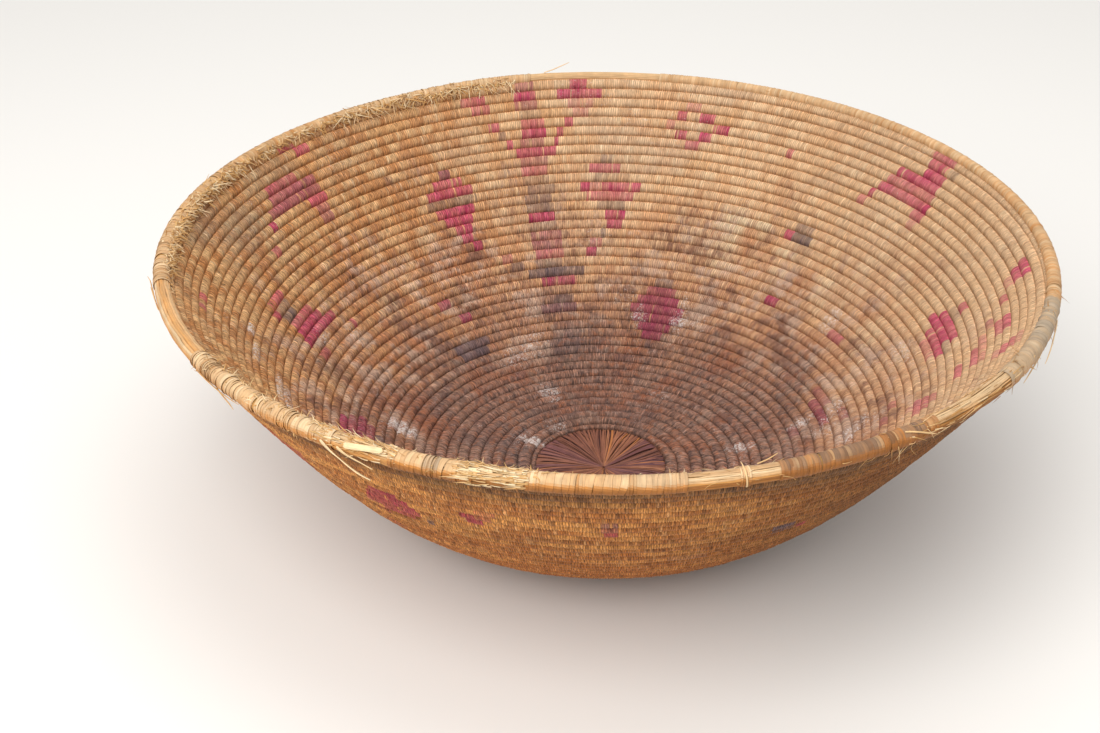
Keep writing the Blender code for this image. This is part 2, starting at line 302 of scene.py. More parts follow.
class Net:
    """A node tree with a short way to add a node, set its sockets and link what feeds it."""

    def __init__(self, tree):
        self.tree = tree

    def add(self, kind, settings=None, **feeds):
        node = self.tree.nodes.new(kind)
        for name, value in (settings or {}).items():
            setattr(node, name, value)
        for name, value in feeds.items():
            self.feed(node.inputs[int(name[1:])] if name[1:].isdigit() else node.inputs[name], value)
        return node

    def feed(self, socket, value):
        """Link a socket from another one, or set its constant, which may be a hex colour."""
        if isinstance(value, bpy.types.NodeSocket):
            self.tree.links.new(value, socket)
        else:
            socket.default_value = colour(value) if isinstance(value, str) else value

    def math(self, operation, a, b=0.5, c=0.5):
        return self.add("ShaderNodeMath", {"operation": operation}, i0=a, i1=b, i2=c).outputs[0]

    def times(self, a, b):
        return self.math("MULTIPLY", a, b)

    def minus(self, a, b):
        return self.math("SUBTRACT", a, b)

    def ramp(self, value, low, high, start=0.0, end=1.0):
        """A smooth change from start to end as the value goes from low to high."""
        node = self.add("ShaderNodeMapRange", {"interpolation_type": "SMOOTHSTEP"}, Value=value)
        for name, number in (("From Min", low), ("From Max", high), ("To Min", start), ("To Max", end)):
            self.feed(node.inputs[name], number)
        return node.outputs[0]

    def mix(self, share, a, b, blend="MIX"):
        node = self.add("ShaderNodeMix", {"data_type": "RGBA", "blend_type": blend})
        for index, value in ((0, share), (6, a), (7, b)):
            self.feed(node.inputs[index], value)
        return node.outputs[2]

    def tint(self, base, towards, mask, low, high, share):
        """The base turned towards a colour by up to a share, as the mask goes from low to high."""
        return self.mix(self.ramp(mask, low, high, 0.0, share), base, towards)

    def tints(self, base, rows):
        """One tint after another. A row gives its colour, mask, low, high and share."""
        for row in rows:
            base = self.tint(base, *row)
        return base

    def shade(self, base, level):
        grey = self.add("ShaderNodeCombineColor", i0=level, i1=level, i2=level).outputs[0]
        return self.mix(1.0, base, grey, "MULTIPLY")

    def bump(self, shader, height, strength, distance):
        bump = self.add("ShaderNodeBump", Height=height, Strength=strength, Distance=distance)
        self.feed(shader["Normal"], bump.outputs[0])

    def noise(self, place, scale, detail, rough):
        feeds = {"Vector": place, "Scale": scale, "Detail": detail, "Roughness": rough}
        return self.add("ShaderNodeTexNoise", **feeds).outputs

    def noises(self, place, scale, detail, rough):
        """Three masks that differ, from the noise's colour."""
        return self.split(self.noise(place, scale, detail, rough)[1])

    def run(self, along, length):
        """Smooth noise along one number, with features about so long."""
        noise = self.add("ShaderNodeTexNoise", {"noise_dimensions": "1D"}, W=along, Scale=1 / length)
        return noise.outputs[0]

    def split(self, value):
        return self.add("ShaderNodeSeparateXYZ", i0=value).outputs

    def join(self, x, y):
        return self.add("ShaderNodeCombineXYZ", i0=x, i1=y).outputs[0]

    def attribute(self, name):
        outputs = self.add("ShaderNodeAttribute", {"attribute_name": name}).outputs
        return (*self.split(outputs["Color"]), outputs["Alpha"])

    def strip(self):
        """The strip map: u along it, in stitches on the coil and metres elsewhere, and v round it."""
        return self.split(self.add("ShaderNodeUVMap", {"uv_map": "strip"}).outputs[0])[:2]


def new_group(name, ins, outs):
    """A shader node group. ins and outs give each socket's name and type."""
    group = bpy.data.node_groups.new(name, "ShaderNodeTree")
    for way, sockets in (("INPUT", ins), ("OUTPUT", outs)):
        for socket, kind in sockets:
            group.interface.new_socket(name=socket, in_out=way, socket_type=f"NodeSocket{kind}")
    net = Net(group)
    return group, net, net.add("NodeGroupInput").outputs, net.add("NodeGroupOutput").inputs


def fibre_group():
    """Fine streaks along a strand: noise on the strand's own map, drawn out along it."""
    ins = [("Across", "Float"), ("Along", "Float"), ("Fineness", "Float")]
    group, net, given, out = new_group("fibre", ins, [("Streak", "Float"), ("Fleck", "Float")])
    place = net.join(net.times(given["Across"], given["Fineness"]), given["Along"])
    net.feed(out["Streak"], net.noise(place, 1.0, 3.0, 0.6)[0])
    net.feed(out["Fleck"], net.noise(place, 3.1, 1.0, 0.5)[0])
    return group


def dust_group():
    """Pale dust: a fine speckle, thick where Amount is high and thin everywhere else."""
    ins = [("Place", "Vector"), ("Amount", "Float")]
    group, net, given, out = new_group("dust", ins, [("Dust", "Float")])
    blotch = net.ramp(net.noise(given["Place"], 14.0, 3.0, 0.6)[0], 0.46, 0.7)
    speck = net.noise(given["Place"], 520.0, 4.0, 0.8)[0]
    amount = net.math("MULTIPLY_ADD", blotch, 0.38, given["Amount"])
    speck = net.minus(speck, net.math("MULTIPLY_ADD", amount, -0.24, 0.63))
    net.feed(out["Dust"], net.ramp(speck, 0.0, 0.22, 0.0, 0.85))
    return group


FIBRE = fibre_group()
DUST = dust_group()
SPECULAR_LEVEL = 0.25
STITCH_BUMP = 0.0003
STRAW_BUMP = 0.0002


def use(net, group, **feeds):
    return net.add("ShaderNodeGroup", {"node_tree": group}, **feeds).outputs


def new_finish(name):
    """A new material as (material, its net, its shader's sockets)."""
    made = bpy.data.materials.new(name)
    made.use_nodes = True
    shader = made.node_tree.nodes["Principled BSDF"]
    shader.inputs["Specular IOR Level"].default_value = SPECULAR_LEVEL
    return made, Net(made.node_tree), shader.inputs


def inside_colour(net, place, u, chance, tone):
    """Sun-bleached tan: runs of one strip's colour, odd pale and dark stitches, and wide soft patches.

    The left has rusty patches and painted shade that makes it darker and warmer, and the right is greyer.
    tone gives the worn spots: grey, pale and rust.
    """
    luck, second, _ = chance
    patch = net.noises(place, 15.0, 3.0, 0.6)
    x = net.split(place)[0]
    base = net.tints("D4A77B", (
        ("E0BA90", net.run(u, 9.0), 0.35, 0.65, 1.0),
        ("CE9A66", net.run(u, 31.0), 0.5, 0.72, 0.5),
        ("C2A88E", patch[0], 0.5, 0.68, 0.38),
        ("D1986A", patch[1], 0.52, 0.7, 0.5),
    ))
    rusty = net.ramp(net.math("MULTIPLY_ADD", patch[2], 0.5, net.run(u, 13.0)), 0.68, 0.86, 0.0, 0.6)
    base = net.mix(net.times(rusty, net.ramp(x, 0.05, -0.2)), base, "B4713C")
    # Painted shade: the bowl's left side is multiplied darker and warmer.
    base = net.mix(net.ramp(x, 0.0, -0.26), base, "EDE2CC", "MULTIPLY")
    base = net.tint(base, "C6A27C", x, 0.12, 0.3, 0.65)
    for spot, share, worn in zip(tone, (0.8, 0.9, 0.75), ("92806A", "E0C9A2", "A9693E")):
        base = net.mix(net.times(spot, share), base, worn)
    base = net.tint(base, "EAD3AC", second, 0.9, 1.0, 0.3)
    base = net.tint(base, "855A38", second, 0.09, 0.0, 0.32)
    return net.shade(base, net.ramp(luck, 0.0, 1.0, 0.95, 1.09))


def floor_colour(net, base, place, reach, chance):
    """Years of food and dirt: the strip turns rusty down the wall and purple-brown on the floor."""
    luck, second, third = chance
    patch = net.noises(place, 17.0, 3.0, 0.65)
    mottle = net.noises(place, 41.0, 3.0, 0.65)
    specks = net.noises(place, 190.0, 2.0, 0.6)
    wavy = net.math("MULTIPLY_ADD", net.minus(patch[0], 0.5), 0.14, reach)
    wavy = net.math("MULTIPLY_ADD", net.minus(third, 0.5), 0.04, wavy)
    base = net.tint(base, "AB7050", wavy, 0.3, 0.18, 0.7)
    lower = net.ramp(wavy, 0.29, 0.2)
    for mask, high, share, mottled in ((mottle[0], 0.6, 0.75, "7A5443"), (mottle[1], 0.62, 0.7, "CCAD96")):
        base = net.mix(net.times(lower, net.ramp(mask, 0.5, high, 0.0, share)), base, mottled)
    floor = net.tints(net.mix(luck, "6C4E43", "A87C68"), (
        ("96593F", patch[1], 0.45, 0.65, 0.8),
        ("675350", patch[2], 0.5, 0.65, 0.6),
        ("9C7C6A", mottle[2], 0.54, 0.66, 0.6),
        ("A0603F", specks[0], 0.52, 0.66, 0.55),
        ("4E3E3E", specks[1], 0.5, 0.66, 0.6),
        ("A08478", specks[2], 0.54, 0.68, 0.5),
        ("443230", second, 0.14, 0.0, 0.5),
    ))
    return net.tint(base, floor, wavy, 0.235, 0.135, 0.92)


def outside_colour(net, u, x, height, chance, dark):
    """Honey-coloured outside, deeper near the ground, with painted shade to the right and under the rim.
    """
    luck, second, _ = chance
    base = net.tints(net.mix(luck, "A0602E", "C08046"), (
        ("D0904E", net.run(u, 75.0), 0.48, 0.56, 0.85),
        ("8A5029", net.run(u, 5.0), 0.5, 0.7, 0.55),
        ("D8A872", second, 0.92, 1.0, 0.4),
        ("5E3C24", second, 0.14, 0.0, 0.5),
        ("A45A28", height, 0.16, 0.03, 0.4),
        # Painted shade: darker towards the right, away from the key lamp.
        ("6A3E18", x, 0.0, 0.2, 0.8),
    ))
    # dark is painted shade under the rim's overhang, with some darker rows; it turns the outside brown.
    return net.mix(net.times(dark, 0.9), base, net.mix(luck, "5A3E26", "765230"))


def dyed(net, base, place, reach, outer, luck, dye):
    """The base with its magenta and dark purple stitches, faded in patches and browner outside."""
    faded = net.ramp(net.noise(place, 60.0, 2.0, 0.6)[0], 0.3, 0.7, 0.72, 1.0)
    magenta = net.tint(net.mix(luck, "A82A50", "C6486C"), "863A4C", reach, 0.27, 0.17, 0.85)
    magenta = net.mix(net.times(outer, 0.6), magenta, "8C3A34")
    purple = net.mix(luck, "56464A", "745F60")
    for strength, stain in ((dye[0], magenta), (dye[1], purple)):
        base = net.mix(net.times(strength, faded), base, stain)
    return base


def row_shade(net, around, reach, outer):
    """The light on a wrapped row, round its section: darker low down and in the valleys between rows."""
    off_crest = net.math("ABSOLUTE", net.minus(around, 0.25))
    valley = net.ramp(off_crest, 0.13, 0.19, 0.96, net.ramp(reach, 0.15, 0.24, 0.72, 1.28))
    inner_side = net.times(net.ramp(around, 0.1, 0.26, 0.79, 1.02), valley)
    outer_side = net.ramp(net.math("ABSOLUTE", net.minus(around, 0.75)), 0.15, 0.24, 1.0, 0.72)
    return net.math("MULTIPLY_ADD", outer, outer_side, net.times(net.minus(1.0, outer), inner_side))


def coil_finish():
    """Strip wrapped round the coil: dyed figures, stained floor, dust, and painted shade between stitches
    and rows.
    """
    made, net, shader = new_finish("sewn_strip")
    u, v = net.strip()
    place = net.add("ShaderNodeTexCoord").outputs["Object"]
    x, y, z = net.split(place)
    reach = net.math("SQRT", net.math("ADD", net.times(x, x), net.times(y, y)))
    stitch = net.math("FLOOR", u)
    noise = net.add("ShaderNodeTexWhiteNoise", {"noise_dimensions": "1D"}, W=stitch)
    chance = net.split(noise.outputs["Color"])
    dye, tone = net.attribute("dye"), net.attribute("tone")
    fibre = use(net, FIBRE, Across=u, Along=net.times(v, 5.0), Fineness=6.0)
    around = net.math("FRACT", v)
    outer = net.math("GREATER_THAN", around, 0.5)

    inside = inside_colour(net, place, u, chance, tone)
    # Painted shade: the lower part of each row's inner side is turned deeper orange-brown.
    inside = net.tint(inside, "B27A42", around, 0.2, 0.05, 0.5)
    inside = floor_colour(net, inside, place, reach, chance)
    base = net.mix(outer, inside, outside_colour(net, u, x, z, chance, tone[3]))
    base = dyed(net, base, place, reach, outer, chance[0], dye)

    across = net.minus(u, stitch)
    crest = net.ramp(net.math("MINIMUM", across, net.minus(1.0, across)), 0.0, 0.22)
    # Painted shade in the grooves between stitches: darker towards each stitch's edges, most on the floor
    # and outside.
    groove_shade = net.math("MULTIPLY_ADD", outer, -0.1, net.ramp(reach, 0.15, 0.25, 0.42, 0.55))
    level = net.math("MULTIPLY_ADD", net.minus(1.0, groove_shade), crest, groove_shade)
    level = net.times(level, net.ramp(fibre["Streak"], 0.3, 0.75, 0.84, 1.12))
    level = net.times(level, row_shade(net, around, reach, outer))
    grain = net.noise(net.join(net.times(u, 2.1), net.times(v, 4.0)), 1.0, 2.0, 0.75)[0]
    rough = net.ramp(net.math("MULTIPLY_ADD", x, 0.5, reach), 0.15, 0.3, 3.7, 1.8)
    grain = net.times(net.minus(grain, 0.5), net.math("MAXIMUM", rough, net.times(outer, 3.3)))
    base = net.shade(base, net.math("MULTIPLY_ADD", level, grain, level))
    dust = use(net, DUST, Place=place, Amount=dye[2])["Dust"]
    base = net.mix(net.times(dust, net.minus(1.0, outer)), base, "D6CCC6")
    net.feed(shader["Base Color"], base)
    net.feed(shader["Roughness"], net.ramp(fibre["Fleck"], 0.2, 0.8, 0.6, 0.85))
    net.bump(shader, net.math("MULTIPLY_ADD", fibre["Streak"], 0.6, crest), 0.7, STITCH_BUMP)
    return made


def straw_finish(name, dark, middle, light, grey, honey):
    """Dry stalks and strips: a colour to each strand, streaks along it, honey from age and painted shade.
    """
    made, net, shader = new_finish(name)
    u, v = net.strip()
    place = net.add("ShaderNodeTexCoord").outputs["Object"]
    lightness, greyed, age_and_shade, _ = net.attribute("tone")
    fibre = use(net, FIBRE, Across=v, Along=net.times(u, 60.0), Fineness=14.0)
    # The third tone carries age, and low on the rim painted warm shade.
    honey_depth = net.math("MULTIPLY_ADD", net.minus(fibre["Streak"], 0.5), 0.6, age_and_shade)
    base = net.tints(dark, (
        (middle, lightness, 0.0, 0.55, 1.0),
        (light, lightness, 0.5, 1.0, 1.0),
        (honey, honey_depth, 0.0, 0.6, 0.9),
        ("945C28", honey_depth, 0.65, 1.1, 0.85),
    ))
    base = net.mix(net.times(greyed, 0.85), base, grey)
    patch = net.ramp(net.noise(place, 90.0, 3.0, 0.6)[0], 0.35, 0.7, 0.88, 1.08)
    streaks = net.ramp(fibre["Streak"], 0.3, 0.75, 0.78, 1.12)
    net.feed(shader["Base Color"], net.shade(base, net.times(patch, streaks)))
    net.feed(shader["Roughness"], net.ramp(fibre["Fleck"], 0.2, 0.8, 0.45, 0.7))
    net.bump(shader, fibre["Streak"], 0.5, STRAW_BUMP)
    return made


SEWN = coil_finish()
PALE_STRAW = straw_finish("pale_straw", "BE8A54", "DAB282", "E6CAA0", "A5896E", "CC8E48")
PALE_STRIP = straw_finish("pale_strip", "B4834E", "D4AC7E", "E4C69C", "9D8F7C", "C27E38")
WORN_STRIP = straw_finish("worn_strip", "8A5C34", "B8875A", "D8AE7C", "745E4E", "A8682C")
FRAYED = straw_finish("frayed_straw", "B07C40", "DEB274", "F4DCB2", "B09474", "D0924C")
DYED_STRAW = straw_finish("dyed_straw", "5E3E3A", "8E5C49", "B67C5A", "6C4650", "C07C48")
CORE = straw_finish("bundle_core", "8A6034", "B58A52", "CC9E64", "8A7056", "B8864A")

# The dyed figures, cell by cell, as the maker sewed them. A row counts from the rim, and a cell runs from
# one angle to another in degrees. Its dye is (magenta, dark purple): M, P and F are magenta from strong to
# faint, D, G and N are dark purple from strong to faint, and V is both.
M, P, F = (1.0, 0.0), (0.75, 0.0), (0.45, 0.0)
D, G, N, V = (0.0, 1.0), (0.0, 0.6), (0.0, 0.35), (0.5, 0.3)
FIGURES = {
    1: ((100.3, 103.2, V), (91.2, 94.2, M), (144, 147.6, P), (25, 30.2, P)),
    2: ((108.4, 113, P), (99.8, 103.4, M), (88.9, 96.6, M), (141.8, 144.8, M), (25.8, 29.6, M),
        (23.3, 25, N)),
    3: ((108.1, 110.9, P), (99.8, 103.6, V), (90, 94.8, F), (25.2, 29.5, M), (72.2, 74.4, F),
        (-5.8, -1.3, M)),
    4: ((99.2, 103, N), (91.2, 94, F), (147, 154, P), (25.1, 34.3, M), (74.2, 75.9, M), (69.4, 72, M),
        (-4.8, -1.9, M), (-23, -20, F)),
    5: ((107.1, 108.5, M), (99, 103, P), (93.9, 95.4, M), (143.6, 155, P), (143.6, 155, N),
        (185.8, 187.4, P), (188.9, 190.2, P), (25, 35.2, P), (76, 77.6, F), (66.8, 69.3, M),
        (-4.6, -2.4, F), (-22.5, -19.5, P)),
    6: ((105.9, 107.2, G), (98.9, 103, M), (95.6, 96.7, M), (143.4, 156.4, P), (143.4, 156.4, N),
        (24.9, 36.4, M), (74, 75.8, M), (69.3, 71.2, M), (54.1, 55.3, P), (-7, -5, P), (-14.6, -10.8, M),
        (-22.5, -19.5, P)),
    7: ((104.7, 106, M), (99.1, 103.4, V), (96.5, 97.3, M), (156.4, 158, M), (143, 147, M),
        (36.3, 37.5, M), (24.9, 27.2, P), (70.8, 73.8, P), (-14.6, -10.5, P), (-22, -19, F),
        (267.9, 270.2, G), (267.9, 270.2, F), (252.6, 255, F), (217, 221, P)),
    8: ((97.2, 104.4, M), (128.9, 130.4, N), (143.4, 146.6, V), (37.4, 39, P), (25.2, 27, F),
        (-9.8, -8, F), (250.4, 252.6, M), (252.6, 254.4, F), (268.1, 270.4, V), (236.8, 241.2, M),
        (217.8, 224.8, P)),
    9: ((117.7, 120.2, P), (117.7, 120.2, G), (99, 104, V), (86.9, 88.8, G), (159, 161, P),
        (143.4, 146.6, V), (-18, -10, F), (236, 242.4, M), (251, 252.9, M), (268.7, 270.3, M),
        (218, 224, F)),
    10: ((115.8, 121.8, M), (98.9, 103.9, P), (85, 91, P), (-17, -12, P), (0.7, 3.1, P), (235, 242.6, M),
        (218.6, 223, P)),
    11: ((114.1, 123.4, M), (98.8, 103.8, N), (83.5, 90, N), (163.4, 165.6, N), (0, 4, N),
        (234, 243.2, M), (219, 222.5, F)),
    12: ((113.4, 124.4, G), (98.2, 103.4, G), (81, 88.5, M), (88.5, 91, F), (91, 92.9, M),
        (166.2, 171.6, P), (-3.4, 5.4, M), (-16.6, -12.2, P), (292.4, 296.2, D), (236, 241.8, P),
        (243.3, 244.5, D), (219.6, 222, P)),
    13: ((114.6, 122.8, M), (98.6, 104, G), (82.3, 91.5, P), (170.4, 172.8, P), (166.2, 170.4, G),
        (44.3, 48.6, G), (-2.2, 7.4, M), (-5.8, -2.2, N), (293, 296.8, G), (297.2, 298.8, M),
        (234.4, 236.6, F)),
    14: ((115.2, 121.4, M), (98.2, 104, G), (84, 89.5, G), (166.2, 170.2, D), (48.2, 50, M),
        (44, 48.2, D), (-4, 5, M)),
    15: ((116.3, 119.8, M), (98.2, 104, M), (84, 88.2, M), (162, 169.8, P), (-2.5, 3.5, F),
        (-17, -15, F)),
    16: ((116.7, 119, M), (98, 104, N), (84.5, 87.6, M), (160.4, 170, M), (-17.6, -13.5, P),
        (278.5, 284.5, N)),
    17: ((115, 117, M), (97.5, 104, V), (87.5, 88.7, G), (157.2, 170.2, M), (-17, -12.6, P),
        (231, 234, F)),
    18: ((97.5, 104.2, V), (88.7, 91, F), (155.6, 157, N), (-14.5, -12.5, F), (231, 234, F)),
    19: ((109.4, 111.6, F), (97.1, 103.8, P), (90.1, 92.1, M), (153.4, 155.2, P), (166.6, 169.6, F)),
    20: ((106.9, 109.4, G), (97.7, 104, G), (-8, -5.5, F)),
    21: ((92.9, 106.1, D), (44.4, 47.6, M), (22.6, 27.2, P), (-12, -9.5, F)),
    22: ((94.6, 103, M), (127.9, 131.2, P), (70.8, 75.4, G)),
    23: ((96, 104, N), (69.7, 77.2, P), (182.4, 190, M)),
    24: ((124, 126.8, M), (127, 136, N), (95.4, 104, G), (77, 79, P), (68.5, 77.2, M), (180, 189, P)),
    25: ((95.4, 105, F), (95.4, 105, G), (66.3, 80.5, M), (177.8, 188, M), (0, 5, F)),
    26: ((67, 80, M), (179, 186, P), (9, 17.5, F)),
    27: ((122.6, 133.8, D), (95, 102, N), (69, 78, M), (181.5, 184, G), (3, 14.5, P)),
    28: ((123.8, 133.4, D), (94.6, 103, N), (70.4, 76.2, M)),
    29: ((95, 105, N), (72.6, 74.8, G)),
    30: ((95, 104, N), (4, 9, F)),
    31: ((77.6, 84, N),),
    32: ((116.5, 120.5, N),),
}

# Wear inside the bowl, as soft spots: the row, the angle, how many rows and degrees they reach, and how
# strong they are.
DUST_STRENGTH = 0.78
DUST_SPOTS = (
    (12, 187, 0.5, 2.5, 0.9), (15, 191.5, 0.4, 4, 1), (16, 193, 0.4, 4, 1), (11, 181.5, 0.5, 1, 0.9),
    (29, 173, 1.2, 3, 0.9), (35, 112, 0.8, 5, 1), (40, 151, 0.8, 5, 1), (40, 124, 0.8, 7, 0.8),
    (18, 165, 0.8, 2, 0.8), (20, 156, 0.8, 2, 0.5), (30, 118, 0.8, 5, 0.7), (29, 109, 0.8, 5, 0.7),
    (25, 164, 1.6, 3, 0.45), (27, 152, 1.6, 4, 0.4), (26, 78, 0.8, 2, 0.9), (24, 67, 0.8, 1, 0.7),
    (26, 67, 0.8, 2, 0.8), (24, 82, 0.8, 3, 0.5), (20, 29, 1.6, 2, 0.9), (29, 9, 0.8, 2, 1),
    (25, -7, 0.8, 3, 1), (27, 1, 0.8, 4, 0.6), (35, 62, 0.8, 6, 0.6), (36, 25, 0.8, 5, 0.4),
    (35, 8, 0.8, 3, 0.8), (26, 60, 0.8, 3, 0.5), (25, 5, 0.8, 4, 0.6), (17, 4, 0.8, 4, 0.4),
    (23, -7, 1.6, 4, 0.6),
)
PALE_SPOTS = (
    (14, 60, 0.6, 2.5, 1), (15, 62, 0.6, 3, 1), (17, 61, 0.8, 3, 0.9), (19, 61, 0.6, 3, 0.8),
    (14, 55, 0.6, 1.5, 1), (16, 48, 0.6, 2, 1), (18, 48, 0.6, 1.5, 0.9), (17, 67, 1, 4, 0.5),
    (18, 36, 1.6, 3, 0.5), (19, 18, 1.6, 3, 0.5), (20, 143, 0.8, 3, 0.7), (19, 135, 0.8, 2, 0.4),
    (15, 127, 0.8, 2, 0.5), (32, 22, 0.8, 3, 0.5), (13, 20, 0.8, 3, 0.4), (17, 123, 0.5, 2, 0.6),
)
RUST_SPOTS = (
    (18, 126, 0.8, 3, 0.6), (24, 142, 0.8, 3, 0.8), (15, 130, 0.8, 2, 0.4), (16, 115, 0.5, 1, 0.7),
    (17, 150, 0.8, 2, 0.6), (24, 154, 0.8, 3, 0.6), (16, 57, 1.6, 2, 0.5), (18, 41, 1, 3, 0.5),
    (23, 30, 0.8, 3, 0.6), (29, 32, 0.8, 2, 0.9), (30, 49, 0.8, 3, 0.5), (22, 76, 0.8, 2, 0.5),
    (17, 22, 0.8, 3, 0.4), (26, 19, 0.8, 2, 0.5),
)
GREY_SPOTS = (
    (5, 164, 1.8, 6, 0.6), (3, 152, 1.5, 6, 0.5), (21, 170, 1.6, 4, 0.8), (26, 165, 0.8, 4, 0.5),
    (24, 136, 0.8, 3, 0.6), (5, 146, 0.8, 2, 0.3), (15, 45, 0.8, 2, 0.5), (20, 47, 0.8, 2, 0.4),
    (24, 85, 0.8, 4, 0.5), (18, 30, 0.8, 3, 0.3), (27, 129, 0.8, 4, 0.4), (2, 172, 1.5, 6, 0.5),
)


def cell_values(row, angle, cells):
    """The strongest of the cells' values at each stitch of their row that lies between their angles."""
    values = np.zeros((len(row), 2))
    for cell_row, low, high, value in cells:
        inside = (row == cell_row) & (angle >= low) & (angle <= high)
        values[inside] = np.maximum(values[inside], value)
    return values


def spot_values(row, angle, spots):
    """The strongest of the spots at each stitch, each spot even inside and fading out near its edge."""
    value = np.zeros(len(row))
    for spot_row, middle, rows, degrees, strength in spots:
        away = ((row - spot_row) / (rows + 0.4)) ** 2 + ((angle - middle) / (degrees + 0.5)) ** 2
        value = np.maximum(value, strength * np.clip(1.5 - 1.1 * away, 0, 1))
    return value


def stitch_tones(turns):
    """Stitch dyes (magenta, purple, dust) and tones (grey, pale, rust, painted shade and dark rows
    outside).
    """
    rng = np.random.default_rng(41)
    angle = np.degrees(COIL_START_ANGLE) - 360 * (turns % 1)
    row = ROWS + 1 - np.floor(turns).astype(int)
    jagged = angle + rng.uniform(-0.15, 0.15, len(turns))
    cells = [(r, a, b, strength) for r, each in FIGURES.items() for a, b, strength in each]
    dye = cell_values(row, jagged, cells) * rng.uniform(0.8, 1.0, (len(turns), 1))
    worn = rng.uniform(0, 1, len(turns)) < 0.03
    dye[worn] *= 0.3
    dust = DUST_STRENGTH * spot_values(row, angle, DUST_SPOTS)
    rough = rng.uniform(0.75, 1.2, len(turns))
    spots = (GREY_SPOTS, PALE_SPOTS, RUST_SPOTS)
    tone = [np.clip(spot_values(row, angle, each) * rough, 0, 1) for each in spots]
    row_luck = rng.uniform(0, 1, ROWS + 2)[row]
    wavy_row = row + 1.2 * wave(np.radians(angle), 17, 1.1)
    # Painted shade on the outside, in the few rows under the rim's overhang.
    painted_rim_shade = ease(5.0, 1.0, wavy_row) * rng.uniform(0.7, 1, len(turns))
    dark_row = 0.35 * ease(0.55, 1, row_luck) * rng.uniform(0.4, 1, len(turns))
    dark = np.maximum(painted_rim_shade, dark_row)
    return np.column_stack((dye, dust)), np.column_stack((*tone, dark))


# The section of a wrapped row, as (inward, upward) in row widths: round towards the inside of the bowl and
# flatter outside, with a little overlap. The strip map's v runs round it, and is over 0.5 outside.
INNER_SECTION = (
    (0.21, -0.515), (0.335, -0.38), (0.435, -0.14), (0.435, 0.14), (0.335, 0.38), (0.21, 0.515),
)
OUTER_SECTION = ((-0.27, 0.505), (-0.41, 0.2), (-0.41, -0.2), (-0.27, -0.505))
ROW_SECTION = np.array(INNER_SECTION + OUTER_SECTION)
ROW_SECTION_V = np.array((0.04, 0.12, 0.21, 0.29, 0.38, 0.46, 0.54, 0.69, 0.81, 0.96, 1.04))
COURSE_POINTS = 60000

# The coil's unevenness, each part with the length over which it changes: how far its middle sways in and
# out and drifts up and down, the share by which its width changes, and how its stitches' lean changes.
COIL_SWAY, SWAY_LENGTH = 0.00030, 0.11
COIL_DRIFT, DRIFT_LENGTH = 0.00024, 0.19
WIDTH_CHANGE, WIDTH_LENGTH = 0.025, 0.07
LEAN_CHANGE, LEAN_LENGTH = 0.05, 0.05


def coil_course():
    """The coil's whole course as (turns, places), with a point at each stitch's edge and at its middle."""
    turns = np.linspace(FIRST_TURN, LAST_TURN, COURSE_POINTS)
    r, z, _, _ = coil_centres(turns)
    steps = np.hypot(np.hypot(np.diff(r), np.diff(z)), r[1:] * np.diff(turns) * FULL_TURN)
    length = np.concatenate(([0], np.cumsum(steps)))
    rng = np.random.default_rng(7)
    widths = FIRST_STITCH_WIDTH + (STITCH_WIDTH - FIRST_STITCH_WIDTH) * ease(*WIDENING_TURNS, turns)
    number = np.concatenate(([0], np.cumsum(np.diff(length) / widths[1:])))
    count = int(number[-1])
    stitches = np.clip(1 + STITCH_SPREAD * rng.standard_normal(count), 0.55, 1.6)
    edges = np.concatenate(([0], np.cumsum(stitches)))
    edges = np.interp(edges * number[-1] / edges[-1], number, length)
    places = np.empty(2 * count + 1)
    places[::2] = edges
    places[1::2] = (edges[1:] + edges[:-1]) / 2
    return np.interp(places, length, turns), places


